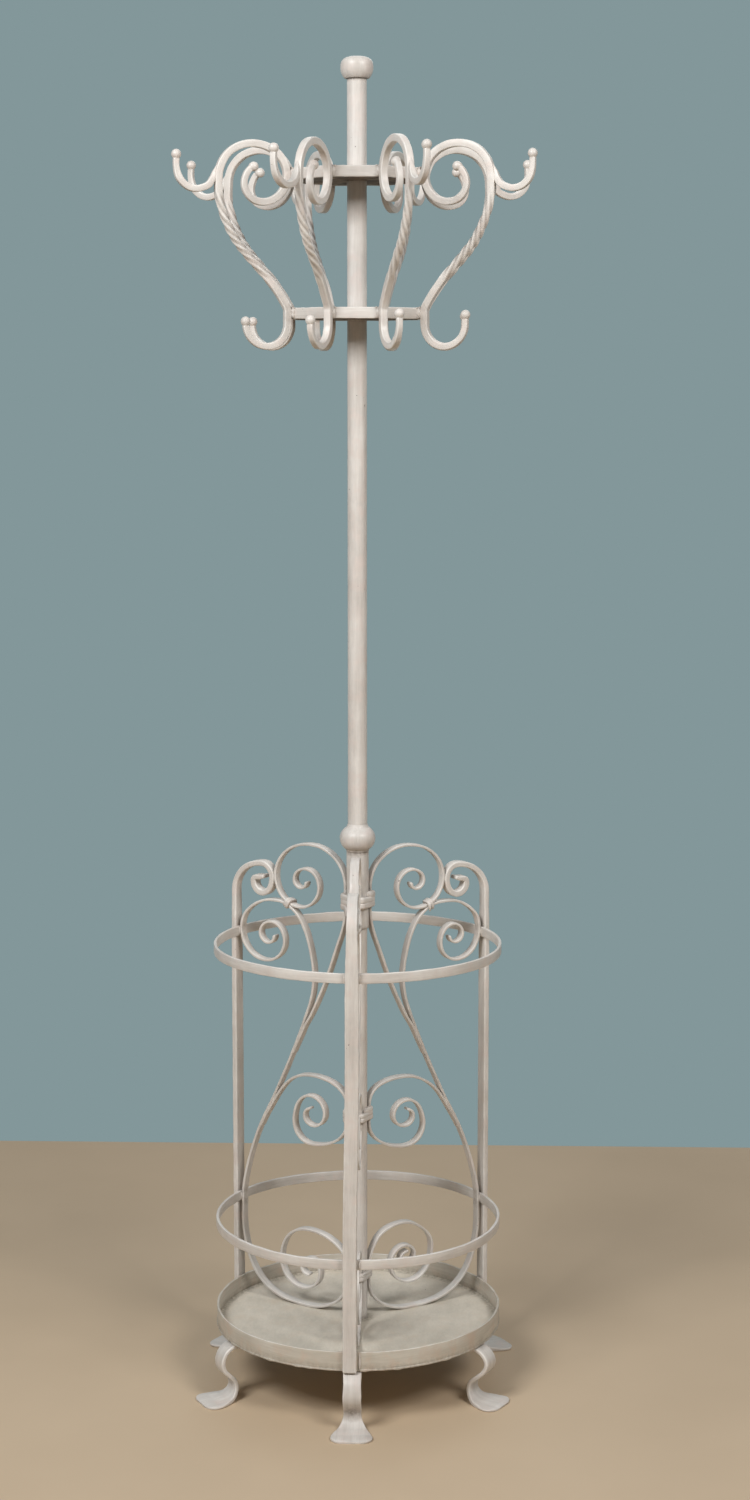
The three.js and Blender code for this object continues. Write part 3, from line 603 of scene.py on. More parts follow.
pole_low, pole_high = heights("pole")
rough_low, rough_high = knop_top, knop_top + 60
pole_z = np.concatenate([np.arange(pole_low, rough_low, 6.0), np.arange(rough_low, rough_high, 0.6),
                         np.arange(rough_high, pole_high, 6.0), [pole_high]])
thick_paint = ease(pole_z, rough_low - 2, rough_low + 4) * (1 - ease(pole_z, rough_high - 7, rough_high))
ripple = np.sin(pole_z * 2.6) + 0.6 * np.sin(pole_z * 1.7 + 1)
pole_r = pole_radius - 0.15 + (0.22 + 0.05 * ripple) * thick_paint
tube_wall = [*np.column_stack([pole_r, pole_z]), [inside, pole_high], [inside, pole_low]]
make_piece("pole_tube", [turned(tube_wall, 64, loop=True, flutter=0.08, seed=2)], ["pole"])

# %% Knop, sleeve and lower tube
bore = pole_radius + touch
knop_middle, land = (knop_bottom + knop_top) / 2, bore + 2
knop = [[bore, knop_bottom], [land - 0.6, knop_bottom], [land, knop_bottom + 0.7],
        *ball_side(radius("knop"), knop_middle, knop_bottom + 3, land, 2)[::-1],
        *ball_side(radius("knop"), knop_middle, knop_top - 4.3, land, 2)[1:],
        [bore + 1.1, knop_top - 2.6], [bore + 0.5, knop_top - 0.9], [bore, knop_top + 0.2]]
make_piece("knop_ball", [turned(knop, 72, loop=True, flutter=0.25, seed=3)], ["knop"])

sleeve_low, sleeve_high = heights("socket_sleeve")
sleeve_z = np.linspace(sleeve_low + 0.7, sleeve_high, 50)
sleeve = [[bore, sleeve_low], [sleeve_radius - 0.7, sleeve_low],
          *upright(sleeve_radius, sleeve_z), [bore, sleeve_high]]
make_piece("socket_sleeve_tube", [turned(sleeve, 64, loop=True, flutter=0.1, seed=4)], ["socket_sleeve"])
tube_low, tube_high = heights("centre_tube")
tube_z = np.linspace(tube_low, tube_high, 80)
lower_tube = [*upright(pole_radius - 0.1, tube_z), [inside, tube_high], [inside, tube_low]]
make_piece("lower_tube", [turned(lower_tube, 48, loop=True, flutter=0.1, seed=5)], ["centre_tube"])

# %% [markdown]
# ## The hook bars
# Each hook bar is one square bar. It starts in a coat hook with a ball, is welded to the lower hub, rises
# in a shank whose middle was twisted hot, goes over in a loop that is welded to the upper hub, and ends in
# a small hat hook with a second ball. The section is a square all the way, turned by the twist, and near
# the ball it grows into a circle: the ball's half width at a distance q from its centre is
# sqrt(R^2 - q^2). The outer hook was forged on to the loop, so its root starts thin on the loop. The
# smith set the bars by eye, and a few of them differ: one is turned by a degree or two, another's coat
# hook is some millimetres shorter. Those differences stand in one table.

# %% The hook bar's path
hook_line, coat_reach = 100.0, 29.5
coat_centre = np.array([hook_line + coat_reach, lower_hub[0] - 7])
loop_reaches = [52.5, 43.5, 42.5, 31, 15.5, 14]
loop_centre = np.array([hook_line + loop_reaches[2], upper_hub[0] + 2])
foot = np.array([hook_line, lower_hub[0] + 7.5])
rise = np.array([[0, 0.03], [0.07, 0.1], [0.26, 0.24], [0.5, 0.38], [0.73, 0.52], [0.89, 0.67], [0.975, 0.8],
                 [1.005, 0.9]])


def hook_bar_path(shorter, lower):
    """The coat hook, the shank and the hat loop. The coat hook's tip may be a little shorter, and the loop
    may stand a little lower."""
    tip = [hook_line + 2 * coat_reach, coat_centre[1] + 12 - shorter]
    coat_hook = np.vstack([tip, bend([polar(coat_centre, coat_reach, angle) for angle in (0, 270, 180)])])
    hat_loop = scroll(loop_centre - [0, lower], loop_reaches, 0, 1)[:-4]
    shank = through([coat_hook[-1], foot, *(foot + (hat_loop[0] - foot) * rise), hat_loop[0]])
    return coat_hook, shank, hat_loop


print("hook bar length", [round(along(stretch)[-1]) for stretch in hook_bar_path(0, 0)])


# %% Balls at the tips
joining_power, bar_edge = 7, 1.7


def with_balls(path, size, ends):
    """Carries a path on by a ball's radius, at the last end (-1) and if asked at the first (0), and gives the
    bar's size all along. The size is the larger of the bar and the ball, joined softly:
    (bar^p + ball^p)^(1/p) with the power p."""
    if 0 in ends:
        path = np.vstack([path[0] + unit(path[0] - path[1]) * ball_radius, path])
    path = np.vstack([path, path[-1] + unit(path[-1] - path[-2]) * ball_radius])
    run = along(path)
    tip = ball_radius * (1 - np.cos(np.linspace(0, np.pi / 2, 9)))
    near = np.concatenate([tip, np.linspace(0, 2 * ball_radius, 13)])
    steps = [np.arange(0, run[-1], 2.0), *(near if end == 0 else run[-1] - near for end in ends)]
    at = np.unique(np.round(np.concatenate(steps), 3))
    at = at[np.concatenate([[True], np.diff(at) > 0.06])]
    path = read_off(path, at)
    bar, ball = size(at, run[-1]), np.zeros(len(at))
    for end in ends:
        q = (at if end == 0 else run[-1] - at) - ball_radius
        ball = np.maximum(ball, 2 * np.sqrt(np.maximum(ball_radius**2 - q**2, 0)))
        bar = np.where(q < 0, 0.0, bar)
    both = (bar**joining_power + ball**joining_power) ** (1 / joining_power)
    round_share = ease(ball / np.maximum(both, 0.01), 0.35, 0.95)
    return path, at, np.maximum(both, 0.5), blend(bar_edge, both / 2, round_share)


def hook_size(run, length, drawn=90):
    """The bar is drawn down from its full size to the stem's over the last stretch before a ball."""
    return blend(hook_stem, hook_bar, ease(np.minimum(run, length - run) - ball_radius, 0, drawn))


# %% The hook bars
by_eye = {
    "front_left": {"turned": 2.2, "shorter": 8.4, "lower": 4, "bent": -2},
    "left_front": {"shorter": 8.4},
    "left_back": {"shorter": 6.7},
    "back_right": {"turned": 2.6},
    "back_left": {"turned": 0.8},
    "right_back": {"turned": 0.8},
}


def by_eye_of(name, key):
    """What a hook differs by in one respect, in degrees or millimetres, or 0."""
    return by_eye.get(name, {}).get(key, 0)


hook_azimuths = {name: azimuth + by_eye_of(name, "turned") for name, azimuth in hook_azimuths.items()}
hook_stretches = {name: hook_bar_path(by_eye_of(name, "shorter"), by_eye_of(name, "lower"))
                  for name in hook_names}
twist_start, twist_length, twist_turns = 68, 134, 1.75
for i, (name, (coat_hook, shank, hat_loop)) in enumerate(hook_stretches.items()):
    path = np.vstack([coat_hook, shank[1:], hat_loop[1:]])
    bar_path, bar_run, bar_size, edge = with_balls(path, hook_size, (0, -1))
    turning = np.clip((bar_run - ball_radius - along(coat_hook)[-1] - twist_start) / twist_length, 0, 1)
    twisted = ease(turning, 0, 0.06) * (1 - ease(turning, 0.94, 1))
    turning -= 0.35 * np.sin(2 * np.pi * turning) / (2 * np.pi)
    # The twist's grooves get dirt and painted shade through the hollow
    shell = skin(in_plane(bar_path, hook_azimuths[name]), bar_size, bar_size, edge + 0.8 * twisted,
                 -2 * np.pi * twist_turns * turning, fine=5, uneven=0.16, seed=20 + i, hollow=0.85 * twisted)
    make_piece(f"hook_{name}", [shell], [f"hook_bar_{name}"])


# %% The outer hooks
def scarfed(host, host_thickness, tip, full, sunk):
    """A thin end laid along another bar: its middle lies off the other's by half of both thicknesses, less
    what is sunk in where the two were hammered into one."""
    run = along(host)
    thickness = blend(tip, full, run / run[-1])
    travel = unit(np.gradient(host[:, :2], axis=0))
    off = host_thickness / 2 - sunk + thickness / 2
    return np.column_stack([host[:, 0] - travel[:, 1] * off, host[:, 1] + travel[:, 0] * off, thickness])


outer_bar = 9.0
out_reach = [[-44.5, -19.8, outer_bar], [-39, -23, outer_bar], [-27, -26, outer_bar], [-14.5, -23, outer_bar],
             [-4.5, -13.5, outer_bar], [0, 0, hook_stem], [0, 18, hook_stem]]


def outer_path_of(shank, hat_loop, lower):
    """From a thin end on the loop's shoulder down its outside, out and up to the ball."""
    middle = loop_centre[1] - lower
    shoulder = np.vstack([shank[shank[:, 1] > middle - 6], hat_loop[1:]])
    host = shoulder[along(shoulder) <= 22]
    root = scarfed(host[::-1], hook_bar, 0.9, outer_bar, 0.7)
    return through([*root[::3], *(np.array(out_reach) + [hat_loop[0, 0] + 58, middle + 9, 0])])


for i, (name, (_, shank, hat_loop)) in enumerate(hook_stretches.items()):
    outer = outer_path_of(shank, hat_loop, by_eye_of(name, "lower"))
    outer_path, outer_run, outer_size, outer_edge = with_balls(
        outer, lambda run, length: np.interp(run, along(outer), outer[:, 2]), (-1,))
    outer_wide = np.where(outer_run < 44, blend(3.0, outer_bar, ease(outer_run, 0, 20)), outer_size)
    azimuth = hook_azimuths[name] + by_eye_of(name, "bent") * ease(outer_run, 15, 90)
    shell = skin(in_plane(outer_path, azimuth), outer_size, outer_wide, outer_edge, fine=5, uneven=0.14,
                 seed=40 + i)
    make_piece(f"outer_{name}", [shell], [f"outer_hook_{name}"])

# %% [markdown]
# ## The hubs
# Each hub is a flat bar bent into an eight-sided band, with a plate inside it that is bored for the pole.
# The hook bars are welded to its corners, and each weld is a small, lumpy bead. The band is one section
# carried round a softened octagon. The beads are short round bars of uneven thickness.

# %% Bands and plates
band_thickness = 5.0
to_flat = np.cos(np.radians(22.5))       # an octagon's reach to its flats, for a reach of 1 to its corners
band_corner = corners("upper_hub_band")[1][0] / to_flat


def octagon(r, cut):
    """Eight corners at radius r, softened by a cut on either side of each."""
    return rounded_profile(polar((0, 0), r, 22.5 + 45 * np.arange(8)), cut, 7)


def even_ring(outline, step=3.0):
    """A closed outline in equal steps."""
    return even(np.vstack([outline, outline[:1]]), step)[:-1]


def stacked(rings, levels):
    """A closed surface through level rings, each at its own height."""
    grid = np.stack([np.column_stack([ring, np.full(len(ring), z)]) for ring, z in zip(rings, levels)])
    return {"grid": grid, "grain": grid, "closed": True}


for name, (low, high) in {"upper": upper_hub, "lower": lower_hub}.items():
    middle = even_ring(octagon(band_corner - band_thickness / 2 / to_flat, 7))
    band = skin(level_ring(middle, (low + high) / 2), band_thickness, high - low, 1.3, uneven=0.15, seed=60,
                closed=True)
    make_piece(f"{name}_band", [band], [f"{name}_hub_band"])
    plate_low, plate_high = heights(f"{name}_hub_plate")
    rim = even_ring(octagon(band_corner - 5.6, 5), 4.0)
    a = angles_of(rim)
    hole = np.stack([np.cos(a), np.sin(a)], axis=1) * (pole_radius + 0.1)
    rings = [hole, blend(hole, rim, 0.33), blend(hole, rim, 0.67), rim, rim, blend(hole, rim, 0.5), hole]
    plate = stacked(rings, [plate_high] * 4 + [plate_low + 0.6] * 3)
    make_piece(f"{name}_plate", [plate], [f"{name}_hub_plate"], sharp=30)
    # A thin dark sheet under each plate: rust and a painted shade on the side that faces down
    under = stacked([hole, rim, rim, hole], [plate_low + 0.5] * 2 + [plate_low] * 2) | {"grain": 0.0}
    make_piece(f"{name}_plate_underside", [under], [], underside_rust_and_shade, sharp=30)


# %% Weld beads
def bead(start, end, r, seed, count=9, ways=8):
    """A weld bead from start to end: a round bar whose radius is r sqrt(1 - u^2) plus slow waves, where u
    runs from -1 to 1 along it."""
    rng = np.random.default_rng(seed)
    start, end = np.asarray(start, float), np.asarray(end, float)
    u = np.linspace(-1, 1, count)
    along_it = unit(end - start)
    side = unit(np.cross(along_it, [0.31, 0.53, 0.79]))
    other = np.cross(along_it, side)
    a = np.linspace(0, 2 * np.pi, ways, endpoint=False)
    lumps = 1 + 0.1 * np.sin(rng.uniform(1, 3) * u * np.pi + rng.uniform(0, 6))[:, None]
    lumps = lumps + 0.08 * np.sin(2 * a + rng.uniform(0, 6) + 2 * u[:, None])
    size = r * np.maximum(1 - u**2, 0.02)[:, None] ** 0.5 * lumps
    centre = blend(start, end, (u[:, None] + 1) / 2)
    ring = np.cos(a)[None, :, None] * side + np.sin(a)[None, :, None] * other
    grid = centre[:, None] + size[..., None] * ring
    return {"grid": grid, "grain": grid, "closed": False}


def at_azimuth(azimuth, r, sideways, z):
    """A point at a radius along an azimuth, moved sideways to the left of it."""
    outward, leftward = directions(azimuth)
    return r * outward + sideways * leftward + z * upwards


def bead_at(azimuth, r, sideways, levels, size, seed, count=9):
    """A bead at a radius along an azimuth, between two heights and two sideways moves."""
    moves = zip(np.broadcast_to(sideways, 2), np.broadcast_to(levels, 2))
    return bead(*(at_azimuth(azimuth, r, *move) for move in moves), size, seed, count)


for name, (low, high) in {"upper": upper_hub, "lower": lower_hub}.items():
    beads = []
    for i, azimuth in enumerate(hook_azimuths.values()):
        for side in (-1, 1):
            beads.append(bead_at(azimuth, band_corner - 1.6, side * 4.4, (low + 0.3, high - 0.3), 3.1,
                                 100 + 2 * i + side, 15))
            beads.append(bead_at(azimuth, band_corner - 3.4, (side * 3.5, side * 8.5), high - 0.7, 1.3,
                                 130 + 2 * i + side))
        beads.append(bead_at(azimuth, band_corner - 1.8, (-4, 4), high - 0.3, 2.0, 150 + i))
    ring = [at_azimuth(a, pole_radius + 0.6, 0, heights(f"{name}_hub_plate")[1] + 0.5) for a in all_round]
    beads += [bead(p, q, 1.6, 160 + i) for i, (p, q) in enumerate(zip(ring, ring[1:] + ring[:1]))]
    make_piece(f"{name}_hub_welds", beads, [], sharp=80)

# %% [markdown]
# ## The scrolled panels
# Three panels stand round the pole, one in each post's plane. A panel has three flat bars. The inner bar
# carries the upper scroll, comes down the sleeve through the top collar and runs out to the side bar. The
# side bar has the side scroll at its upper end and sweeps down inside the hoops, over the tray and up into
# the lowest scroll. The middle scroll branches off it. A flat bar rolls easily on its flat, so the section
# never twists here, and where two bars are forge-welded the end of one thins out along the other. The
# three panels were bent by hand and differ a little, so each scroll's reaches, and how far its crown leans
# towards the tube, are given for each panel.

# %% Side bar
upper_reaches = [72.5, 53, 46, 38, 27.5, 18, 14.5, 10.5, 6.5]
upper_centre = np.array([sleeve_line + upper_reaches[0], top_collar[1] + 4])
upper_scroll = scroll(upper_centre, upper_reaches, 180, -1)

tie_angle = np.radians(-64)
facing = np.array([np.cos(tie_angle), np.sin(tie_angle)])
ellipse = np.array(upper_reaches[2:4])
tie_inner = upper_centre + ellipse**2 * facing / np.hypot(*(ellipse * facing))
tie_outer = tie_inner + (bar_thickness + 0.6) * facing
hoop_middle = np.array([np.mean(lower_hoop), np.mean(upper_hoop)])

side_reaches = {"front": [51, 48, 38, 29, 19, 15.5, 13.5, 9], "left": [51, 48, 38, 26, 19, 15.5, 13, 9],
                "right": [51, 41, 36, 21, 17, 14, 11, 8]}
low_reaches = {"front": [62, 48, 30, 22, 18, 16], "left": [59, 48, 28, 18, 17, 14, 9],
               "right": [55, 37.5, 35, 29, 19.5, 9.5, 7.5, 14, 11]}
low_rise = {"front": 55, "left": 55, "right": 73}
side_lean = {"front": 5, "left": 5, "right": 6}
mid_lean = {"front": 2, "left": 3, "right": 8}
low_lean = {"front": 0, "left": -2.5, "right": 8}
lean = np.array([[0.308, 0.87], [0.33, 0.79], [0.4, 0.7], [0.5, 0.59], [0.6, 0.49], [0.7, 0.395], [0.8, 0.31],
                 [0.885, 0.22], [0.945, 0.137], [0.985, 0.065]])
near_tie = np.array([[14, 4], [0, 0], [-13.5, -9.5], [-22, -20], [-31, -37], [-39, -63]])
near_hoop = np.array([[0, 0], [0, -14], [0.5, -36], [-1.5, -62]])
over_tray = np.array([[-13, 50], [-33, 22.5], [-62, 6]])


def leaned(path, shift, low, high):
    """A scroll whose crown leans towards the tube: every point moves by shift * ease(height, low, high)."""
    path = path.copy()
    path[:, 0] -= shift * ease(path[:, 1], low, high)
    return path


def side_bar(name):
    """A side bar's path from the eye of the side scroll to the eye of the lowest scroll, and the leaning
    stretch between the two scrolls by itself."""
    side_centre = np.array([hoop_line - side_reaches[name][1], hoop_middle[1]])
    side_scroll = scroll(side_centre, side_reaches[name], 90, -1)
    side_scroll = leaned(side_scroll, side_lean[name], side_centre[1] + 22, side_centre[1] + 51)
    low_centre = np.array([tube_line + 65, tray_line + low_rise[name]])
    low_scroll = np.vstack([
        quarter([low_centre[0], tray_line], [tube_line, low_collar[0] - 1], False),
        quarter([tube_line, low_collar[1] + 1], polar(low_centre, low_reaches[name][0], 90), True),
        scroll(low_centre, low_reaches[name], 90, -1),
    ])
    low_scroll = leaned(low_scroll, low_lean[name], low_centre[1] + 22, low_centre[1] + 55)
    leaning = through([
        side_scroll[0],
        *(tie_outer + near_tie),
        *np.column_stack([blend(tube_line, hoop_line, lean[:, 0]), blend(*hoop_middle, lean[:, 1])]),
        *([hoop_line, lower_hoop[1]] + near_hoop),
        *([hoop_line, tray_line] + over_tray),
        [low_centre[0] + 18, tray_line + 0.3],
        [low_centre[0], tray_line],
    ])
    return np.vstack([side_scroll[::-1], leaning[1:], low_scroll[1:]]), leaning


def relaxed(path, reach=6.0, step=1.5):
    """Evens out the bends, as hot iron does over the horn of an anvil: each point becomes the average of
    its neighbours at a distance d along the path, with the weights exp(-(d / reach)^2)."""
    path = even(path, step)
    n = int(2 * reach / step)
    weights = np.exp(-((np.arange(-n, n + 1) * step / reach) ** 2))
    padded = np.vstack([2 * path[0] - path[n:0:-1], path, 2 * path[-1] - path[-2:-n - 2:-1]])
    return np.stack([np.convolve(column, weights / weights.sum(), "valid") for column in padded.T], axis=1)


def flat_bar(path, azimuth, seed):
    """A flat bar along a path whose third column is its thickness, with softly rounded ends."""
    path = even(relaxed(path), 2.0)
    path, (thick, wide) = rounded_end(path, [path[:, 2], np.full(len(path), bar_width)], 2.2)
    return skin(in_plane(path, azimuth), thick, wide, 1.0, uneven=0.14, seed=seed)


def of_thickness(path, thickness=bar_thickness):
    """Adds a thickness to every point of a path."""
    return np.column_stack([path, np.full(len(path), thickness)])


for i, (name, azimuth) in enumerate(post_azimuths.items()):
    make_piece(f"side_scrolls_{name}", [flat_bar(of_thickness(side_bar(name)[0]), azimuth, 70 + i)],
               [f"side_bar_{name}"])


# %% Inner bar and middle scroll
scarf_top = upper_hoop[1] - 131
sleeve_foot = np.array([sleeve_line, top_collar[0] - 3])
inner_lean = np.array([[0.05, 0.12], [0.22, 0.31], [0.47, 0.58], [0.7, 0.785], [0.86, 0.91]])
mid_middle = np.mean(mid_collar)
mid_centre = np.array([tube_line + 62, mid_middle - 9])
mid_top = mid_centre + [0, 57]
mid_reaches = {"front": [45, 27, 27, 24, 17, 11, 8], "left": [45, 27, 27, 24, 17, 11, 8],
               "right": [46, 25, 22, 22, 16, 11, 8]}


def root_on(leaning, low, high):
    """A bar's thin root on the leaning stretch of the side bar between two heights, running upwards and
    clear of the tie."""
    z = leaning[:, 1]
    host = leaning[(z >= low) & (z <= high) & (z < tie_inner[1] - 60)][::-1]
    return scarfed(host, bar_thickness, 1.2, bar_thickness, 0.2)


def inner_bar(leaning):
    """From the upper scroll's eye over to the sleeve, through the top collar and out to the side bar."""
    root = root_on(leaning, scarf_top - 48, scarf_top)
    down = sleeve_foot + (root[-1, :2] - sleeve_foot) * inner_lean
    fall = of_thickness(np.vstack([sleeve_foot + [0, 6], sleeve_foot, down]))
    return np.vstack([of_thickness(upper_scroll[::-1]), through([*fall, *root[::4][::-1]])])


def middle_bar(leaning, reaches, shift):
    """Off the side bar, over to the tube, through the middle collar and round the middle scroll."""
    root = root_on(leaning, mid_middle - 40, mid_middle + 12)
    shoulder = mid_top + (root[-1, :2] - mid_top) * np.array([[0.63, 0.295], [0.307, 0.05], [0, 0]])
    round_scroll = np.vstack([
        quarter(mid_top, [tube_line, mid_collar[1] + 1], False),
        quarter([tube_line, mid_collar[0] - 1], polar(mid_centre, reaches[0], 270), True),
        scroll(mid_centre, reaches, 270, 1),
    ])
    path = np.vstack([through([*root[::4], *of_thickness(shoulder)]), of_thickness(round_scroll)])
    return leaned(path, shift, mid_centre[1] + 25, mid_centre[1] + 57)


for i, (name, azimuth) in enumerate(post_azimuths.items()):
    leaning = side_bar(name)[1]
    make_piece(f"upper_scroll_{name}", [flat_bar(inner_bar(leaning), azimuth, 80 + i)], [f"inner_bar_{name}"])
    bar = flat_bar(middle_bar(leaning, mid_reaches[name], mid_lean[name]), azimuth, 90 + i)
    make_piece(f"middle_scroll_bar_{name}", [bar], [f"middle_scroll_{name}"])

# %% [markdown]
# ## Wound collars
# The panels are tied to the pole with hot iron strip wound three times round all of them, as a smith
# wraps a collar. The strip's ends are folded over slantwise. So a collar is one bar again, carried round
# and round an outline while it sinks, with its last stretch drawn outwards over the turns. A ring with
# grooves would look like a machined part.

# %% Collars round the pole
def wrap_outline(tube):
    """Outline of a strip drawn round a tube and the three bars on it: two corners at each bar and one
    between it and the next."""
    reach, half = tube + 2 * touch + bar_thickness + 0.45, bar_width / 2 + touch
    made = []
    for azimuth in at_posts:
        made += [at_azimuth(azimuth, reach, side * half, 0)[:2] for side in (-1, 1)]
        made.append(polar((0, 0), tube + 3 * touch, azimuth + 60))
    return np.array(made)


def wound(outline, low, high, turns, thick, sunk, start, seed, tail=26.0, drop=9.0, tilt=0.0):
    """A strip wound round an outline, from the top down: the height sinks evenly with the distance, and
    over the tail it also stands out and drops further. The turns may lie tilted. Both ends are thinned out,
    and the strip's rounded back lies sunk between the bars."""
    step = 1.6
    ring = even_ring(rounded_profile(outline, 2.6, 6), step)
    ring = np.roll(ring, -np.argmin(np.abs(angles_of(ring) - np.radians(start))), axis=0)
    pitch = (high - low) / turns
    rows = int(len(ring) * (turns - 0.12))
    plan, outward = (np.vstack([part] * (turns + 1))[:rows] for part in (ring, level_ring(ring, 0.0)[1]))
    run = np.arange(rows) * step
    left_over = run[-1] - run
    lift = ease(tail - left_over, 0, tail * 0.6) * (thick - sunk) * 0.8
    z = blend(high - pitch * 0.5, low + pitch * 0.5, run / run[-1]) - drop * ease(tail - left_over, 0, tail)
    z = z + tilt * plan[:, 0] + 0.4 * np.sin(run / 9 + seed)
    points = np.column_stack([plan, z]) + outward * (thick / 2 - sunk + lift)[:, None]
    slant = np.gradient(points, axis=0)
    up = unit(np.cross(outward, slant))
    up = np.where(up[:, 2:] < 0, -up, up)
    ends = np.minimum(ease(run, 0, 9), ease(left_over, 0, 12))
    strip = skin((points, outward, up), blend(2.0, thick, ends), pitch * blend(0.5, 1.03, ends), thick / 2,
                 fine=6, uneven=0.35, seed=seed)
    # The grooves between the turns get dirt and painted shade
    off_middle = np.abs(((strip["grid"] - points[:, None]) * up[:, None]).sum(axis=-1)) / (pitch / 2)
    strip["hollow"] = 0.9 * ease(off_middle, 0.75, 1.0)
    return strip


centre_collars = {
    "top": (sleeve_radius, top_collar, 7.6, -38, 0.03),
    "middle": (pole_radius, mid_collar, 6.6, -52, 0.08),
    "bottom": (pole_radius, low_collar, 5.6, -40, 0.14),
}
for name, (tube, (low, high), thick, start, tilt) in centre_collars.items():
    strip = wound(wrap_outline(tube), low, high, 3, thick, 3.4, start, 170 + len(name), tilt=tilt)
    make_piece(f"{name}_collar_strip", [strip], [f"{name}_collar"])

# %% Small collars
tie_middle = (tie_inner + tie_outer) / 2


def small_collar(azimuth, seed):
    """A strip wound once and a half round an upper scroll and a side bar. It is wound upright about the
    origin and then laid along the bars: x goes to the facing direction, y across and z along the bars."""
    half_across, half_wide = bar_thickness + 1.2, bar_width / 2 + 0.9
    box = np.array([[1, -1], [1, 1], [-1, 1], [-1, -1]]) * [half_across, half_wide]
    strip = wound(box, -5.5, 5.5, 2, 4.6, 2.0, 20, 180 + seed, tail=12, drop=3)
    outward, across = directions(azimuth)
    face = facing[0] * outward + facing[1] * upwards
    bars_way = facing[0] * upwards - facing[1] * outward
    centre = tie_middle[0] * outward + tie_middle[1] * upwards
    strip["grid"] = centre + strip["grid"] @ [face, across, bars_way]
    return strip


for i, (name, azimuth) in enumerate(post_azimuths.items()):
    make_piece(f"small_collar_strip_{name}", [small_collar(azimuth, i)], [f"small_collar_{name}"])

# %% [markdown]
# ## Posts and hoops
# Three posts of flat bar stand outside two hoops and end in curls that touch the upper scrolls. The hoops
# are flat bars bent round and closed. Towards the curl a post is drawn down narrower, and its tip is
# spread again and folded over like a beak. Under the brush the edges have gone soft, and paint fills the
# corners where a post crosses a hoop, so thin fillets are laid there.

# %% Posts
curl_reaches = [26, 17, 17, 14]
post_foot = heights("post_front")[0]
top_middle = np.mean(top_collar)
curl_line = upper_centre[0] + upper_reaches[2] + bar_thickness / 2 + touch + post_thickness / 2
curl_centre = np.array([curl_line + curl_reaches[1], top_middle + 12.5])
curl_width, beak_width = 14.5, 17.5
post_path = of_thickness(np.vstack([
    [post_line, post_foot],
    quarter([post_line, curl_centre[1] - 16], polar(curl_centre, curl_reaches[0], 90), True),
    scroll(curl_centre, curl_reaches, 90, 1),
]), post_thickness)
before_end = along(post_path)[-1] - along(post_path)
post_path[:, 2] += 1.4 * (1 - ease(before_end, 15, 44))
beak = np.array([[14.3, 1.2, 9], [12.6, 4, 8], [8.6, 5, 7.2], [3, 5.2, 6.6], [-4.5, 7.4, 5.6]])
folded = beak + [*curl_centre, 0]
post_path = np.vstack([post_path[:-1], through([post_path[-1], *folded])])
post_path = even(relaxed(post_path, 3.0), 2.5)
drawn_down = ease(along(post_path), curl_centre[1] - post_foot - 110, curl_centre[1] - post_foot + 20)
flared = 1 - ease(along(post_path)[-1] - along(post_path), 4, 26)
post_width_there = blend(post_width, curl_width, drawn_down) + (beak_width - curl_width) * flared
post_path, (post_thick, post_wide) = rounded_end(post_path, [post_path[:, 2], post_width_there], 2.0)
leans_by = {"front": -1.0}
for i, (name, azimuth) in enumerate(post_azimuths.items()):
    near_foot = 1 - ease(post_path[:, 1], lower_hoop[0], lower_hoop[0] + 300)
    azimuth = azimuth + leans_by.get(name, 0) * near_foot
    shell = skin(in_plane(post_path, azimuth), post_thick, post_wide, 1.9, fine=5, uneven=0.16, seed=200 + i)
    make_piece(f"post_bar_{name}", [shell], [f"post_{name}"])

# %% Hoops
for i, (name, (low, high)) in enumerate({"upper": upper_hoop, "lower": lower_hoop}.items()):
    ring = circle(cage_radius - hoop_thickness / 2, 240)
    a = angles_of(ring)
    sag = 0.5 * np.sin(2 * a + i) + 0.35 * np.sin(5 * a + 2 * i)
    points, outward, up = level_ring(ring, (low + high) / 2)
    hoop = skin((points + up * sag[:, None], outward, up), hoop_thickness, high - low, 1.1, uneven=0.15,
                seed=210 + i, closed=True)
    make_piece(f"{name}_hoop_bar", [hoop], [f"{name}_hoop"])

fillets = []
for i, azimuth in enumerate(post_azimuths.values()):
    hoop_levels = [(low + 1, high - 1) for low, high in (lower_hoop, upper_hoop)]
    for side in (-1, 1):
        fillets += [bead_at(azimuth, cage_radius + 0.2, side * 9.8, levels, 1.6, 220 + 4 * i + 2 * j + side)
                    for j, levels in enumerate(hoop_levels)]
        fillets.append(bead_at(azimuth, cage_radius + 0.3, side * 9.9, (tray_bottom + 1, tray_top + 23), 1.9,
                               240 + 2 * i + side, 14))
    fillets += [bead_at(azimuth, hoop_line + 2, side * 6.6, levels, 1.3, 260 + 4 * i + 2 * j + side)
                for j, levels in enumerate(hoop_levels) for side in (-1, 1)]
make_piece("post_fillets", fillets, [], sharp=80)

# %% [markdown]
# ## Tray and legs
# The tray catches the drips of umbrellas. Its rim is a band of flat bar round a sheet floor, and the
# weld under the rim was never ground off. The floor is greener than the rest, and dirt and painted shade
# darken it along the rim and round the tube. Six legs of flat bar curl out from under it like paws: the
# bar bends round a knee, turns back at the ankle and spreads into a thin foot.

# %% Tray
rim_low, rim_high = heights("tray_rim")
rim_thickness = 3.0
ring = circle(cage_radius - rim_thickness / 2, 480)
a = angles_of(ring)
points, outward, up = level_ring(ring, (rim_low + rim_high) / 2)
dents = 0.35 * np.sin(7 * a + 1) + 0.25 * np.sin(12 * a + 2) + 0.15 * np.sin(23 * a)
rim = skin((points + outward * (dents * 0.6)[:, None] + up * (dents * 0.8)[:, None], outward, up),
           rim_thickness, rim_high - rim_low, 1.0, uneven=0.18, seed=300, closed=True)
make_piece("tray_rim_band", [rim], ["tray_rim"], rim_paint)

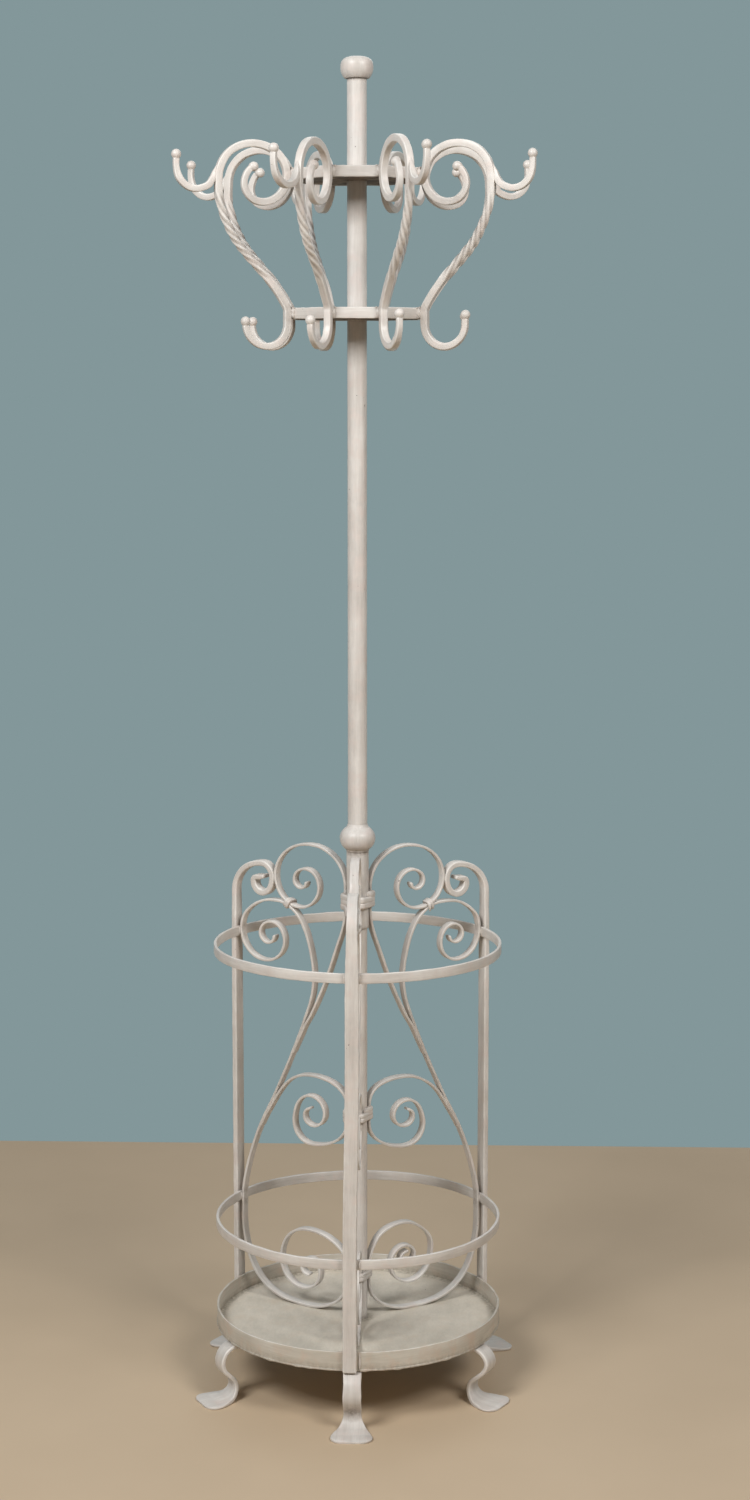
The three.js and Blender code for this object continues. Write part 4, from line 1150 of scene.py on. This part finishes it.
seam = circle(cage_radius - 0.2, 720)
a = angles_of(seam)
lumps = np.maximum(np.sin(41 * a) * np.sin(17 * a + 1) * np.sin(5 * a + 2), 0) ** 0.7
hollows = np.maximum(np.sin(29 * a + 2) * np.sin(11 * a) * np.sin(7 * a + 1), 0)
points, outward, up = level_ring(seam, rim_low + 1.7)
seam_size = 2.3 + 1.5 * lumps - 0.8 * hollows
weld = skin((points - up * (0.5 * lumps)[:, None], outward, up), seam_size * 0.75, seam_size * 1.2, 1.2,
            fine=3, uneven=0.15, seed=301, closed=True)
make_piece("tray_rim_weld", [weld], [], rim_paint, sharp=80)

floor_r = cage_radius - rim_thickness
r = np.array([0, *np.linspace(6, floor_r - 7, 60), *np.linspace(floor_r - 5, floor_r, 6)])
lift = 1.6 * ease(r, floor_r - 7, floor_r) ** 2
tray_profile = [[0, tray_bottom], [floor_r, tray_bottom], *np.column_stack([r, tray_top + lift])[::-1]]
tray = turned(tray_profile, 180)
around = angles_of(tray["grid"])
out_share = np.hypot(tray["grid"][..., 0], tray["grid"][..., 1]) / floor_r
dish = 0.5 * np.sin(2 * around + 1) * out_share**2 + 0.35 * np.cos(3 * around) * out_share**3
upper_side = tray["grid"][..., 2] > tray_top - 0.5
tray["grid"][..., 2] += np.where(upper_side, dish * (1 - out_share**8), 0)
tray["grain"] = tray["grid"] * [0.5, 0.2, 1.0]
make_piece("tray_floor_sheet", [tray], ["tray_floor"], tray_paint)

# %% Legs
leg_top = post_foot - touch - 3
knee_r, shin_r, toe_reach = 22, 12, 46
leg_thickness, tip_thickness, leg_width, foot_width, foot_length = 6.0, 2.6, 25.0, 58.0, 62
knee = np.array([cage_radius - 6, leg_top - knee_r])


def arc(centre, r, start, end, step=4):
    """Points on a circle from one angle to another."""
    return polar(centre, r, np.linspace(start, end, int(abs(end - start) / step) + 1))


shin = polar(polar(knee, knee_r, -45), shin_r, -135)
ankle_r = (shin[1] - 3) / (1 + np.cos(np.radians(45)))
ankle = polar(shin, ankle_r, -45)
toe_r = cage_radius + toe_reach
leg = np.vstack([[knee[0] - 26, leg_top], arc(knee, knee_r, 90, -45), arc(ankle, ankle_r, 135, 270)])
toes = [[toe_r - reach, 2, 4] for reach in (20, 10, 0)]
leg = even(np.vstack([of_thickness(leg, leg_thickness), toes]), 1.6)
is_foot = (leg[:, 1] < 6) & (leg[:, 0] > ankle[0])
flare = np.clip(1 - (along(leg)[-1] - along(leg)) / foot_length, 0, 1)
rounding = np.maximum(flare - 0.74, 0) / 0.26
leg_wide = blend(leg_width, foot_width, ease(flare, 0, 0.8)) * np.sqrt(1 - 0.7 * rounding**3)
leg_thick = blend(leg[:, 2], tip_thickness, ease(flare, 0.9, 1.0))
leg_path = np.column_stack([leg[:, 0], leg_thick / 2 * is_foot + leg[:, 1] * ~is_foot])
leg_edge = np.minimum(2.1, leg_thick / 2)
tucked_in = {"right_front": 9, "front": -5}
for i, (name, azimuth) in enumerate(leg_azimuths.items()):
    inward = tucked_in.get(name, 0) * (1 - ease(leg_path[:, 1], shin[1] - 6, knee[1] + 8))
    path = leg_path - np.column_stack([inward, np.zeros(len(leg_path))])
    shell = skin(in_plane(path, azimuth), leg_thick, leg_wide, leg_edge, fine=5, uneven=0.22, seed=320 + i)
    shell["grid"][..., 2] = np.maximum(shell["grid"][..., 2], 0)
    make_piece(f"leg_bar_{name}", [shell], [f"leg_{name}"])

# %% [markdown]
# ## Stage, light and camera
# The stand is shown on a plain pale floor. The wall's tone comes from the world, which only the camera and
# glossy rays see; the light of the world is white. Two soft boxes stand at the front, above eye height,
# and the left one is the stronger. A round pole then shows a light stripe on each side of its middle and
# darkens towards both edges. A third, weak one behind keeps the back from going black. The camera has a
# long lens and looks slightly down.

# %% Floor
def stage_floor():
    """A level grid of points: every x with every y, at height 0."""
    x, y = np.linspace(-2.6, 2.6, 3), np.linspace(-4.2, 1.12, 3)
    grid = np.stack(np.meshgrid(x, y), axis=-1).reshape(-1, 2)
    mesh = bpy.data.meshes.new("floor")
    faces = [(0, 1, 4, 3), (1, 2, 5, 4), (3, 4, 7, 6), (4, 5, 8, 7)]
    mesh.from_pydata([(*p, 0.0) for p in grid.tolist()], [], faces)
    material = bpy.data.materials.new("floor_finish")
    material.use_nodes = True
    tree = material.node_tree
    shader = tree.nodes["Principled BSDF"]
    place = node(tree, "TexCoord", {}).outputs["Object"]
    tone = spread(tree, noise(tree, place, 3.0, 3), 0.3, 0.7)
    sandy = mixed(tree, tone, colour(207, 185, 157), colour(201, 179, 151))
    tree.links.new(sandy, shader.inputs["Base Color"])
    shader.inputs["Roughness"].default_value = 0.6
    mesh.materials.append(material)
    floor = bpy.data.objects.new("floor", mesh)
    bpy.context.scene.collection.objects.link(floor)
    return floor


print("floor", stage_floor().dimensions[:])

# %% World and lamps
scene = bpy.context.scene
world = bpy.data.worlds.new("room")
scene.world = world
world.use_nodes = True
tree = world.node_tree
tree.nodes.clear()
rays = node(tree, "LightPath", {})
seen = sums(tree, "MAXIMUM", rays.outputs["Is Camera Ray"], rays.outputs["Is Glossy Ray"])
seen = sums(tree, "MAXIMUM", seen, rays.outputs["Is Transmission Ray"])
soft = node(tree, "Background", {"Color": colour(244, 246, 250), "Strength": 0.06})
wall = node(tree, "Background", {"Color": colour(131, 151, 154), "Strength": 1.0})
shown = node(tree, "MixShader", {0: seen, 1: soft.outputs[0], 2: wall.outputs[0]})
node(tree, "OutputWorld", {"Surface": shown.outputs[0]})


lamps = {       # place, size, power and tint
    "left_box": ((-1.67, -2.42, 3.2), 1.35, 103, (0.985, 0.995, 1.0)),
    "right_box": ((1.84, -2.3, 3.1), 1.2, 68, (1.0, 0.98, 0.955)),
    "back_box": ((0.4, 2.7, 3.1), 1.8, 16, (1.0, 0.99, 0.97)),
}
aim = (0, 0, 1.0)
for name, (place, size, power, tint) in lamps.items():
    data = bpy.data.lights.new(name, "AREA")
    data.shape, data.size, data.energy, data.color = "SQUARE", size, power, tint
    lamp = bpy.data.objects.new(name, data)
    scene.collection.objects.link(lamp)
    x, y, z = np.array(place) - aim
    lamp.location = place
    lamp.rotation_euler = (np.arctan2(np.hypot(x, y), z), 0, np.arctan2(x, -y))

# %% Camera
lens = bpy.data.cameras.new("camera")
lens.lens = 62.4
lens.clip_start, lens.clip_end = 0.1, 60
camera = bpy.data.objects.new("camera", lens)
scene.collection.objects.link(camera)
side_angle, distance, eye_height = np.radians(2.2), 3.58, 1.428
down, aside = 8.28, 0.39       # how far the camera looks down and to the right, in degrees
camera.location = (distance * np.sin(side_angle), -distance * np.cos(side_angle), eye_height)
camera.rotation_euler = (np.radians(90 - down), 0, side_angle - np.radians(aside))
scene.camera = camera
scene.view_settings.view_transform = "Standard"
print("camera at", camera.location[:])
